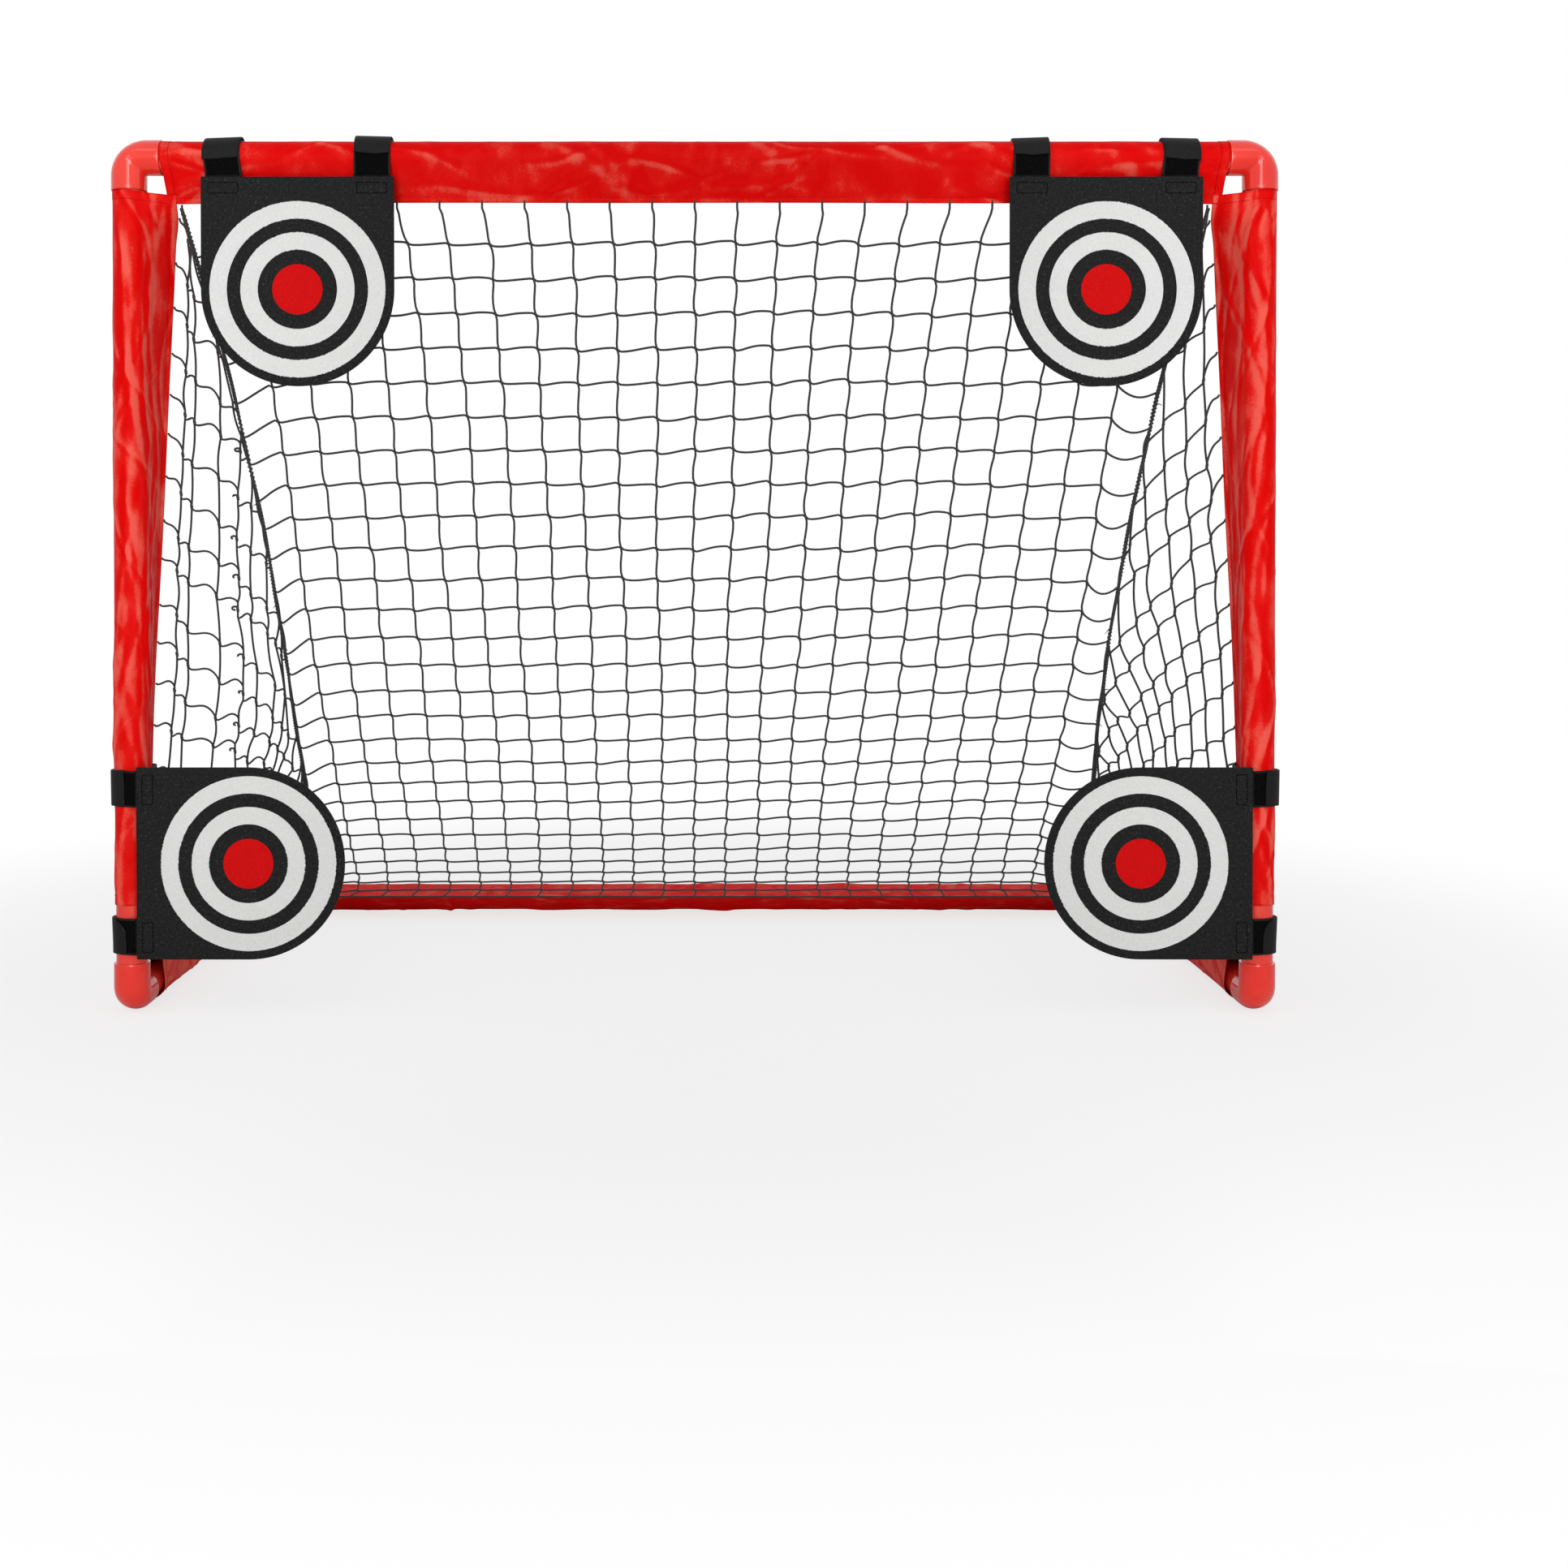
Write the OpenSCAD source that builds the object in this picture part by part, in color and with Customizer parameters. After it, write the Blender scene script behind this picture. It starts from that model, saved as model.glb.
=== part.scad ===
// Hockey goal net: a push-together tube frame with cloth sleeves, a laced twine net
// and four practice targets that hang in its corners. Millimetres, +Z up, +X to the
// right of a shooter who faces the goal, origin on the floor at the middle of the goal line.

/* [Frame] */
// Outside width of the frame
goal_w = 1219; // [1000:1:1830]
// Outside height of the frame
goal_h = 914; // [800:1:1220]
// Outside depth of the base
goal_d = 610; // [500:1:900]

/* [Tubes] */
// Outside diameter of a tube
tube_od = 32; // [28:0.5:36]
// Wall of a tube
tube_wall = 2; // [1:0.1:3]
// Length of the plug that joins two half bars
coupler_len = 90; // [50:1:160]
// Wall of the plug
coupler_wall = 2; // [1:0.1:4]
// Gap where two half bars meet
bar_gap = 0.4; // [0.2:0.1:2]
// Radial clearance of a push fit
push_fit = 0.05; // [0.02:0.01:0.1]
// End clearance between a tube and the shoulder in its socket
seat_gap = 0.3; // [0.1:0.1:1]

/* [Elbows] */
// Wall of an elbow round its sockets
elbow_wall = 2.45; // [1.5:0.05:4]
// Depth of a socket
socket_depth = 15; // [10:1:30]
// Radius of the crease inside the bend
crease_r = 1.5; // [0.5:0.1:6]

/* [Sleeves] */
// Thickness of the sleeve cloth
cloth_t = 0.6; // [0.4:0.1:1]
// Radial clearance between a tube and its sleeve
sleeve_gap = 0.3; // [0.2:0.1:0.8]
// Distance from a bar's axis to the free edge of its sleeve
flap_reach = 50; // [40:1:70]
// Width of the hem along that edge
hem_w = 7; // [4:0.5:12]
// Gap between an elbow and the end of a sleeve
sleeve_end_gap = 0.5; // [0.3:0.1:3]
// Height of a post sleeve's lower end
post_sleeve_foot = 115; // [105:1:140]
// Distance from the goal line to a side sleeve's front end
side_sleeve_front = 50; // [42:1:90]
// Turn of a post sleeve's flap out of the goal line at its top
turn_top = 12; // [12:1:18]
// Turn of that flap at its foot, where the side net pulls it back
turn_foot = 69; // [50:1:80]
// How early along the post the turn happens
turn_rate = 1.6; // [1:0.1:2.5]
// Lean of a side sleeve's flap towards the goal
side_lean = 22; // [5:1:35]
// Rise of the rear sleeve's flap above level
rear_rise = 10; // [0:1:25]

/* [Net] */
// Meshes across the back net, and down it
meshes = 12; // [6:1:12]
// Thickness of the twine
twine_d = 2.4; // [1.5:0.1:3.5]
// Gap between the twine and what it is sewn or laced to
net_gap = 0.3; // [0.2:0.1:0.6]
// Depth of the point that the back net's curve leans towards
sag_y = 60; // [0:1:160]
// Height of that point
sag_z = 224; // [120:1:400]
// Distance from a post's axis to the top of the corner seam
seam_top_in = 54; // [45:1:90]
// Distance from a side rail's axis to the foot of the seam
seam_foot_in = 86; // [50:1:140]
// How far the seam draws in between its ends
seam_pinch = 54; // [0:1:80]
// Thickness of the lacing along the seam
lace_d = 4.6; // [3:0.1:7]
// How far the side net's middle rows climb from the seam to the post
row_rise = 95; // [0:1:120]

/* [Targets] */
// Width of a target, and the diameter of its round end
target_w = 200; // [195:1:240]
// Length of a target
target_len = 216.5; // [210:0.5:240]
// Thickness of a target
panel_t = 2.4; // [1.5:0.1:4]
// Distance from the sleeve's surface to the middle of a target
panel_stand = 3.1; // [2.8:0.1:6]
// Thickness of the printed ink
ink_t = 0.3; // [0.2:0.1:0.6]
// Radius of the printed centre
centre_r = 26; // [15:1:35]
// Inner radius of the inner ring
inner_ring_r = 41; // [38:1:50]
// Inner radius of the outer ring
outer_ring_r = 73; // [70:1:78]
// Width of a ring
ring_w = 18; // [8:1:19]
// Distance from the left post's axis to the side of its top target
left_target_in = 80; // [45:1:200]
// Distance from the right post's axis to the side of its top target
right_target_in = 65; // [45:1:200]
// Distance from the top bar's axis down to a top target's edge
top_drop = 23.5; // [22:0.5:40]
// Distance from a post's axis inwards to a base target's edge
base_in = 11; // [9:0.5:20]

/* [Straps] */
// Width of a strap
strap_w = 38; // [25:1:40]
// Thickness of a strap
strap_t = 1.8; // [1:0.1:2.5]
// Distance from a target's side to the middle of a strap
strap_inset = 23; // [21:0.5:26]
// Height of a post's lower strap above the elbow
strap_rise = 10.5; // [5:0.5:20]
// Clearance between a strap and what it wraps
strap_gap = 0.3; // [0.2:0.1:0.6]
// Clearance between a strap and the target that turns on it
turn_gap = 0.5; // [0.4:0.1:0.8]
// Distance from a target's edge to the strap end sewn behind it
tail_in = 6.5; // [6.5:0.5:9]
// Length of that strap end
tail_len = 12.5; // [8:0.5:25]
// Angle that the closing tab covers over a bar
tab_angle = 100; // [60:1:120]

/* [Hidden] */
$fn = 64;

tube_colour = [0.93, 0.30, 0.24];
elbow_colour = [0.90, 0.22, 0.15];
plug_colour = [0.25, 0.25, 0.27];
cloth_colour = [0.82, 0.03, 0.02];
twine_colour = [0.08, 0.08, 0.08];
panel_colour = [0.13, 0.13, 0.13];
strap_colour = [0.05, 0.05, 0.05];
ring_colour = [0.90, 0.90, 0.90];
centre_colour = [0.85, 0.06, 0.06];

tube_r = tube_od / 2;
tube_id = tube_od - 2 * tube_wall;
elbow_r = tube_r + push_fit + elbow_wall;
bend_r = elbow_r + crease_r;
arm = bend_r + socket_depth;
axis_x = goal_w / 2 - elbow_r;
top_z = goal_h - elbow_r;
base_z = elbow_r;
rear_y = goal_d - 2 * elbow_r;
tube_inset = bend_r + seat_gap;

sleeve_ri = tube_r + sleeve_gap;
sleeve_ro = sleeve_ri + cloth_t;
sleeve_inset = arm + sleeve_end_gap;
sleeve_head = top_z - sleeve_inset;
hem_slit = 0.15;

edge_off = flap_reach + net_gap + 0.75 * twine_d;
lace_off = lace_d / 2 + net_gap + 0.75 * twine_d;
side_tip = [sin(side_lean), cos(side_lean)];
rear_tip = [-cos(rear_rise), sin(rear_rise)];

panel_y = -(sleeve_ro + panel_stand);
top_left_x = left_target_in + target_w / 2 - axis_x;
top_right_x = axis_x - right_target_in - target_w / 2;
strap_pitch = target_w - 2 * strap_inset;
base_target_z = base_z + arm + strap_rise + (strap_w + strap_pitch) / 2;
ring_off = target_len - target_w / 2;
fold_r = 0.3;
top_fold = 30;
base_fold = 15;
top_tab_front = 178;
base_tab_front = 163;
pass_room = 2.5;
band_rows = 2;
band_gap = 0.4;

function unit(v) = v / norm(v);
function mix(a, b, f) = a + (b - a) * f;

// ---------- tubes and plugs

module tube(len) {
    linear_extrude(len) difference() {
        circle(r = tube_r);
        circle(d = tube_id);
    }
}

module half_bar() {
    rotate([0, 90, 0]) translate([0, 0, bar_gap / 2]) tube(axis_x - tube_inset - bar_gap / 2);
}

module coupler() {
    r = tube_id / 2 - push_fit;
    rotate([0, 90, 0]) linear_extrude(coupler_len, center = true) difference() {
        circle(r = r);
        circle(r = r - coupler_wall);
    }
}

module post() {
    translate([0, 0, base_z + tube_inset]) tube(top_z - base_z - 2 * tube_inset);
}

module rail() {
    translate([0, tube_inset, base_z]) rotate([-90, 0, 0]) tube(rear_y - 2 * tube_inset);
}

module top_bar_left() color(tube_colour) translate([0, 0, top_z]) mirror([1, 0, 0]) half_bar();
module top_bar_right() color(tube_colour) translate([0, 0, top_z]) half_bar();
module top_bar_coupler() color(plug_colour) translate([0, 0, top_z]) coupler();
module post_left() color(tube_colour) translate([-axis_x, 0, 0]) post();
module post_right() color(tube_colour) translate([axis_x, 0, 0]) post();
module side_rail_left() color(tube_colour) translate([-axis_x, 0, 0]) rail();
module side_rail_right() color(tube_colour) translate([axis_x, 0, 0]) rail();
module rear_bar_left() color(tube_colour) translate([0, rear_y, base_z]) mirror([1, 0, 0]) half_bar();
module rear_bar_right() color(tube_colour) translate([0, rear_y, base_z]) half_bar();
module rear_bar_coupler() color(plug_colour) translate([0, rear_y, base_z]) coupler();

// ---------- elbows: a swept quarter bend between two socketed arms, along +X and +Z

module bend(r) {
    translate([bend_r, 0, bend_r]) rotate([90, 0, 0]) rotate([0, 0, 180])
        rotate_extrude(angle = 90) translate([bend_r, 0]) circle(r = r);
}

module arms(r, from, to) {
    translate([0, 0, from]) cylinder(r = r, h = to - from);
    translate([from, 0, 0]) rotate([0, 90, 0]) cylinder(r = r, h = to - from);
}

module elbow() {
    difference() {
        union() {
            bend(elbow_r);
            arms(elbow_r, bend_r, arm);
        }
        bend(tube_id / 2);
        arms(tube_r + push_fit, bend_r, arm + 1);
    }
}

module elbow_top_left() color(elbow_colour) translate([-axis_x, 0, top_z]) mirror([0, 0, 1]) elbow();
module elbow_top_right() mirror([1, 0, 0]) elbow_top_left();
module elbow_base_left() color(elbow_colour) translate([-axis_x, 0, base_z]) rotate([0, 0, 90]) elbow();
module elbow_base_right() mirror([1, 0, 0]) elbow_base_left();
module elbow_rear_left() color(elbow_colour) translate([-axis_x, rear_y, base_z]) rotate([90, 0, 0]) elbow();
module elbow_rear_right() mirror([1, 0, 0]) elbow_rear_left();

// ---------- sleeves: cloth round the tube, closed by a flat hem at the flap's free edge

// Angle from the flap's direction to where its straight side leaves the round part.
function lift_angle(r, tip_r) = acos((r - tip_r) / (flap_reach - hem_w));

// Corner points of the flap, pointing down, from one tangent point round to the other.
function flap_points(r, tip_r, hem) = let (
        a = lift_angle(r, tip_r), d = flap_reach - hem_w,
        s = [for (m = [1, -1]) [[m * r * sin(a), -r * cos(a)], [m * tip_r, -d], [m * tip_r, -d - hem]]]
    ) [s[0][0], s[0][1], s[0][2], s[1][2], s[1][1], s[1][0]];

// One closed outline of the sleeve, its round part in n steps and then the flap.
function outline(r, tip_r, hem, n) = let (a = lift_angle(r, tip_r), f = flap_points(r, tip_r, hem)) concat(
    [for (i = [0:n]) let (t = a - 90 + (360 - 2 * a) * i / n) r * [cos(t), sin(t)]],
    [f[4], f[3], f[2], f[1]]
);
function cloth_outside(n) = outline(sleeve_ro, cloth_t, hem_w, n);
function cloth_inside(n) = outline(sleeve_ri, hem_slit, hem_slit, n);

module sleeve_section() {
    steps = 40;
    difference() {
        polygon(cloth_outside(steps));
        polygon(cloth_inside(steps));
    }
}

// Turn of a post sleeve's flap at height z: quick below the top corner, then easing off.
function flap_turn(z) = let (u = min(1, max(0, (sleeve_head - z) / (sleeve_head - post_sleeve_foot))))
    mix(turn_top, turn_foot, 1 - pow(1 - u, turn_rate));

module twisted_sleeve() {
    rows = 14;
    steps = 22;
    shapes = [cloth_outside(steps), cloth_inside(steps)];
    n = len(shapes[0]);
    zs = [for (i = [0:rows]) mix(sleeve_head, post_sleeve_foot, i / rows)];
    points = [for (s = shapes) for (z = zs) let (t = flap_turn(z) + 90)
        for (p = s) [p[0] * cos(t) - p[1] * sin(t), p[0] * sin(t) + p[1] * cos(t), z]];
    function id(s, i, k) = (s * (rows + 1) + i) * n + k % n;
    walls = [for (i = [0:rows - 1]) for (k = [0:n - 1]) for (f = [
        [id(0, i, k), id(0, i, k + 1), id(0, i + 1, k)], [id(0, i, k + 1), id(0, i + 1, k + 1), id(0, i + 1, k)],
        [id(1, i, k), id(1, i + 1, k), id(1, i, k + 1)], [id(1, i, k + 1), id(1, i + 1, k), id(1, i + 1, k + 1)]
    ]) f];
    ends = [for (k = [0:n - 1]) for (f = [
        [id(0, 0, k), id(1, 0, k), id(0, 0, k + 1)], [id(0, 0, k + 1), id(1, 0, k), id(1, 0, k + 1)],
        [id(0, rows, k), id(0, rows, k + 1), id(1, rows, k)],
        [id(0, rows, k + 1), id(1, rows, k + 1), id(1, rows, k)]
    ]) f];
    polyhedron(points, concat(walls, ends));
}

module bar_sleeve(turn) {
    len = 2 * (axis_x - sleeve_inset);
    translate([-len / 2, 0, 0]) rotate([90, 0, 90]) linear_extrude(len) rotate(turn) sleeve_section();
}

module side_sleeve() {
    rear = rear_y - sleeve_inset;
    translate([0, rear, base_z]) rotate([90, 0, 0]) linear_extrude(rear - side_sleeve_front)
        rotate(180 - side_lean) sleeve_section();
}

module sleeve_top() color(cloth_colour) translate([0, 0, top_z]) bar_sleeve(0);
module sleeve_rear() color(cloth_colour) translate([0, rear_y, base_z]) bar_sleeve(-90 - rear_rise);
module sleeve_post_left() color(cloth_colour) translate([-axis_x, 0, 0]) twisted_sleeve();
module sleeve_post_right() mirror([1, 0, 0]) sleeve_post_left();
module sleeve_side_left() color(cloth_colour) translate([-axis_x, 0, 0]) side_sleeve();
module sleeve_side_right() mirror([1, 0, 0]) sleeve_side_left();

// ---------- net: knots are small blocks, and each link bridges a side of one to a side of another

// Curve of the back net in the plane x = 0, from the top flap to the rear one, as [y, z].
net_head = [0, top_z - edge_off];
net_foot = [rear_y, base_z] + edge_off * rear_tip;
function net_curve(t) = pow(1 - t, 2) * net_head + 2 * t * (1 - t) * [sag_y, sag_z] + t * t * net_foot;

// The curve's parameter at equal steps of length, read back from its summed chords.
chords = 60;
chord_sum = [for (i = 0, s = 0; i <= chords; i = i + 1,
    s = s + (i <= chords ? norm(net_curve(i / chords) - net_curve((i - 1) / chords)) : 0)) s];
by_length = [for (i = [0:chords]) [chord_sum[i] / chord_sum[chords], i / chords]];
function step_t(j) = lookup(j / meshes, by_length);

// Half width of the back net at parameter t, drawn in between its two ends.
function seam_x(t) = mix(axis_x - seam_top_in, axis_x - seam_foot_in, t) - seam_pinch * 2 * sqrt(t * (1 - t));
function seam_point(j) = let (t = step_t(j), c = net_curve(t)) [-seam_x(t), c[0], c[1]];

top_strap_x = [for (x = [top_left_x, top_right_x]) for (m = [-1, 1]) x + m * strap_pitch / 2];
base_strap_z = [for (m = [-1, 1]) base_target_z + m * strap_pitch / 2];

// A value moved aside, to the nearer side, where a strap passes through the net.
function aside(v, straps) = let (
        need = strap_w / 2 + twine_d / 2 + net_gap + pass_room,
        hit = [for (s = straps) if (abs(v - s) < need) s]
    ) len(hit) == 0 ? v : hit[0] + (v < hit[0] ? -need : need);

// Corners of the block at a knot: a points along the row, b down the column.
function block(p, a, b) = let (h = twine_d / 2, n = unit(cross(a, b)), d = cross(n, a))
    [for (l = [-1, 1]) for (c = [[1, -1], [1, 1], [-1, 1], [-1, -1]]) p + h * (c[0] * a + c[1] * d + l * n)];

function two(q) = [[q[0], q[1], q[2]], [q[0], q[2], q[3]]];

// Faces of a link from side s of knot a to side r of knot b. Sides: 0 right, 1 down, 2 left, 3 up.
function link_faces(l) = let (
        a = l[0] * 8, b = l[2] * 8, p = l[1], q = (p + 1) % 4, u = l[3], v = (u + 1) % 4
    ) concat(
        two([a + q, a + p, b + v, b + u]),
        two([b + u + 4, b + v + 4, a + p + 4, a + q + 4]),
        two([b + v, a + p, a + p + 4, b + v + 4]),
        two([a + q, b + u, b + u + 4, a + q + 4])
    );

module twine(knots, links) {
    used = [for (l = links) each [l[0] * 4 + l[1], l[2] * 4 + l[3]]];
    open = [for (i = [0:len(knots) - 1]) for (s = [0:3]) if (len(search(i * 4 + s, used)) == 0) [i * 8, s]];
    faces = concat(
        [for (i = [0:len(knots) - 1]) let (k = i * 8)
            each concat(two([k, k + 1, k + 2, k + 3]), two([k + 7, k + 6, k + 5, k + 4]))],
        [for (o = open) let (p = o[0] + o[1], q = o[0] + (o[1] + 1) % 4) each two([q, p, p + 4, q + 4])],
        [for (l = links) each link_faces(l)]
    );
    polyhedron([for (k = knots) each k], faces);
}

// The back net lies in bands of two meshes, a hair apart, so that each is close to flat. A band hangs
// from stubs just under the row above it.
module net_band(first) {
    n = meshes;
    last = min(first + band_rows, n);
    function spread(i, j) = (2 * i / n - 1) * (seam_x(step_t(j)) - lace_off);
    function across(i, j) = let (x = spread(i, 0), moved = aside(x, top_strap_x))
        j <= 1 && moved != x ? moved : spread(i, j);
    function down(j) = let (
            a = net_curve(step_t(max(j - 0.5, 0))), b = net_curve(step_t(min(j + 0.5, n)))
        ) unit([0, b[0] - a[0], b[1] - a[1]]);
    function knot(i, j) = let (c = net_curve(step_t(j))) [across(i, j), c[0], c[1]];
    function stub(i) = let (a = knot(i, first), b = knot(i, first + 1))
        a + (twine_d + band_gap) * unit(b - a);
    heads = first == 0 ? [for (i = [0:n]) block(knot(i, 0), [1, 0, 0], down(0))]
        : [for (i = [0:n]) block(stub(i), [1, 0, 0], down(first + 0.1))];
    knots = concat(heads, [for (j = [first + 1:last]) for (i = [0:n]) block(knot(i, j), [1, 0, 0], down(j))]);
    rows = [for (j = [first == 0 ? 0 : 1:last - first]) for (i = [0:n - 1])
        [j * (n + 1) + i, 0, j * (n + 1) + i + 1, 2]];
    columns = [for (j = [0:last - first - 1]) for (i = [0:n]) [j * (n + 1) + i, 1, (j + 1) * (n + 1) + i, 3]];
    twine(knots, concat(rows, columns));
}

module net_back() {
    color(twine_colour) for (first = [0:band_rows:meshes - 1]) net_band(first);
}

// The side net is cut as a triangle: row j has j + 1 knots, from the post's flap to the seam.
module net_side() {
    n = meshes;
    foot = post_sleeve_foot + twine_d;
    head_z = seam_point(0)[2];
    low_z = seam_point(n - 1)[2];
    rail_front = side_sleeve_front + twine_d;
    rail_back = rear_y - sleeve_inset - strap_w / 2;
    function flap_z(j) = let (u = (seam_point(j)[2] - low_z) / (head_z - low_z))
        mix(foot, head_z, u) + 4 * row_rise * u * (1 - u);
    function on_flap(j) = let (z = aside(flap_z(j), base_strap_z), t = flap_turn(z))
        [-axis_x + edge_off * cos(t), edge_off * sin(t), z];
    function on_rail(k) = [
        -axis_x + edge_off * side_tip[0],
        mix(rail_front, rail_back, seam_point(k)[1] / seam_point(n)[1]),
        base_z + edge_off * side_tip[1]
    ];
    function at_seam(j) = let (
            s = seam_point(j), d = unit(seam_point(min(j + 1, n)) - seam_point(j - 1)),
            v = (j < n ? on_flap(j) : on_rail(n - 1)) - s
        ) s + lace_off * unit(v - (v * d) * d);
    function knot(j, k) = let (f = seam_point(k)[1] / seam_point(j)[1])
        k == j ? at_seam(j)
        : j == n ? on_rail(k)
        : let (p = mix(on_flap(j), at_seam(j), f), lift = on_flap(j)[2] - flap_z(j))
            p + [0, 0, k == 1 ? lift * f : 0];
    grid = [for (j = [0:n]) [for (k = [0:j]) knot(max(j, 1), min(k, max(j, 1)))]];
    function row_dir(j, k) = unit(grid[j][min(k + 1, j)] - grid[j][max(k - 1, 0)]);
    function col_dir(j, k) = unit(grid[min(j + 1, n)][k] - grid[max(j - 1, k, 1)][k]);
    function down(j, k) = j == n && k == n ? unit(grid[n][n] - grid[n - 1][n - 1]) : col_dir(j, k);
    function id(j, k) = j * (j + 1) / 2 + k - 1;
    knots = [for (j = [1:n]) for (k = [0:j]) block(grid[j][k], row_dir(j, k), down(j, k))];
    rows = [for (j = [1:n]) for (k = [0:j - 1]) [id(j, k), 0, id(j, k + 1), 2]];
    columns = [for (j = [1:n - 1]) for (k = [0:j]) [id(j, k), 1, id(j + 1, k), 3]];
    edge = [for (j = [1:n - 1]) [id(j, j), 0, id(j + 1, j + 1), 3]];
    twine(knots, concat(rows, columns, edge));
}

module net_side_left() color(twine_colour) net_side();
module net_side_right() mirror([1, 0, 0]) net_side_left();

// Lacing: a round cord through the corner seam, with a ring of points at each row of the net.
module lacing() {
    n = meshes;
    sides = 8;
    function along(j) = j == 0 ? [0, 0, -1]
        : j == n ? [0, -rear_tip[0], -rear_tip[1]]
        : unit(seam_point(j + 1) - seam_point(j - 1));
    points = [for (j = [0:n]) let (d = along(j), a = unit(cross(d, [0, cos(60), sin(60)])), b = cross(d, a))
        for (k = [0:sides - 1]) seam_point(j) + lace_d / 2 * (cos(360 * k / sides) * a + sin(360 * k / sides) * b)];
    walls = [for (j = [0:n - 1]) for (k = [0:sides - 1]) let (m = (k + 1) % sides)
        each two([j * sides + m, j * sides + k, (j + 1) * sides + k, (j + 1) * sides + m])];
    caps = [for (k = [1:sides - 2]) each [[0, k, k + 1], [n * sides, n * sides + k + 1, n * sides + k]]];
    polyhedron(points, concat(walls, caps));
}

module seam_lacing_left() color(twine_colour) lacing();
module seam_lacing_right() mirror([1, 0, 0]) seam_lacing_left();

// ---------- targets, drawn hanging down from the middle of their strap edge, front towards -Y

module panel_outline() {
    union() {
        translate([-target_w / 2, -ring_off]) square([target_w, ring_off]);
        translate([0, -ring_off]) circle(d = target_w, $fn = 128);
    }
}

module stand_up(thick) {
    rotate([90, 0, 0]) linear_extrude(thick) children();
}

module target() {
    translate([0, panel_t / 2, 0]) stand_up(panel_t) panel_outline();
    for (m = [-1, 1])
        translate([m * strap_pitch / 2 - strap_w / 2, panel_t / 2 + strap_t, -tail_in - tail_len])
            stand_up(strap_t) square([strap_w, tail_len]);
}

module ink() {
    translate([0, -panel_t / 2, -ring_off]) stand_up(ink_t) children();
}

module rings() {
    ink() for (r = [inner_ring_r, outer_ring_r]) difference() {
        circle(r = r + ring_w, $fn = 128);
        circle(r = r, $fn = 128);
    }
}

module centre() {
    ink() circle(r = centre_r);
}

module at_top(x) {
    translate([x, panel_y, top_z - top_drop]) children();
}

module at_base_left() {
    translate([-axis_x + base_in, panel_y, base_target_z]) rotate([0, -90, 0]) children();
}

module target_top_left() color(panel_colour) at_top(top_left_x) target();
module rings_top_left() color(ring_colour) at_top(top_left_x) rings();
module centre_top_left() color(centre_colour) at_top(top_left_x) centre();
module target_top_right() color(panel_colour) at_top(top_right_x) target();
module rings_top_right() color(ring_colour) at_top(top_right_x) rings();
module centre_top_right() color(centre_colour) at_top(top_right_x) centre();
module target_base_left() color(panel_colour) at_base_left() target();
module rings_base_left() color(ring_colour) at_base_left() rings();
module centre_base_left() color(centre_colour) at_base_left() centre();
module target_base_right() mirror([1, 0, 0]) target_base_left();
module rings_base_right() mirror([1, 0, 0]) rings_base_left();
module centre_base_right() mirror([1, 0, 0]) centre_base_left();

// ---------- straps: a band pulled round the bar, the flap's edge and a fold at the target

// Outline of a band round pulleys [x, y, r], given anticlockwise: tangents joined by arcs, or by
// their crossing point where the band turns the other way.
function belt(pulleys, grow) = let (
        n = len(pulleys),
        legs = [for (i = [0:n - 1]) let (p = pulleys[i], q = pulleys[(i + 1) % n], d = [q[0] - p[0], q[1] - p[1]])
            atan2(d[1], d[0]) - acos((p[2] - q[2]) / norm(d))]
    ) [for (i = [0:n - 1]) let (
            c = [pulleys[i][0], pulleys[i][1]], r = pulleys[i][2] + grow, from = legs[(i + n - 1) % n],
            turn = ((legs[i] - from + 60) % 360 + 360) % 360 - 60, steps = max(1, ceil(turn / 10))
        ) each turn > 0
            ? [for (k = [0:steps]) let (a = from + turn * k / steps) c + r * [cos(a), sin(a)]]
            : [c + r / cos(turn / 2) * [cos(from + turn / 2), sin(from + turn / 2)]]];

module band(pulleys) {
    difference() {
        polygon(belt(pulleys, strap_t));
        polygon(belt(pulleys, 0));
    }
}

// Closing tab: a second layer over the bar, from the front round past its outer side.
module tab(r, front) {
    far = 2 * (r + strap_t);
    intersection() {
        difference() {
            circle(r = r + 2 * strap_t);
            circle(r = r + strap_t / 2);
        }
        polygon([[0, 0], for (a = [0, 0.5, 1]) far * [cos(front - a * tab_angle), sin(front - a * tab_angle)]]);
    }
}

// Fold of the strap beside a target's hinge, set back by the target's half thickness.
function fold(drop, lean) = let (off = (panel_t / 2 + turn_gap + strap_t + fold_r) / cos(lean))
    [panel_y + off * sin(lean), -drop + off * cos(lean), fold_r];

module top_strap(x) {
    r = sleeve_ro + strap_gap;
    tip_r = 0.75 * twine_d + strap_gap;
    translate([x - strap_w / 2, 0, top_z]) rotate([90, 0, 90]) linear_extrude(strap_w) {
        band([[0, 0, r], fold(top_drop, top_fold), [0, -edge_off, tip_r]]);
        tab(r, top_tab_front);
    }
}

module base_strap(z) {
    on_sleeve = z + strap_w / 2 > post_sleeve_foot - strap_gap;
    r = (on_sleeve ? sleeve_ro : tube_r) + strap_gap;
    spread = abs(flap_turn(z - strap_w / 2) - flap_turn(z + strap_w / 2)) / 2;
    tip_r = 0.75 * twine_d + strap_gap + edge_off * sin(spread);
    turn = flap_turn(z);
    tip = [edge_off * sin(turn), -edge_off * cos(turn), tip_r];
    bar = [0, 0, r];
    edge = fold(base_in, base_fold);
    translate([-axis_x, 0, z - strap_w / 2]) linear_extrude(strap_w) rotate(90) {
        band(on_sleeve ? [bar, edge, bar, tip] : [bar, edge]);
        tab(r, base_tab_front);
    }
}

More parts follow.
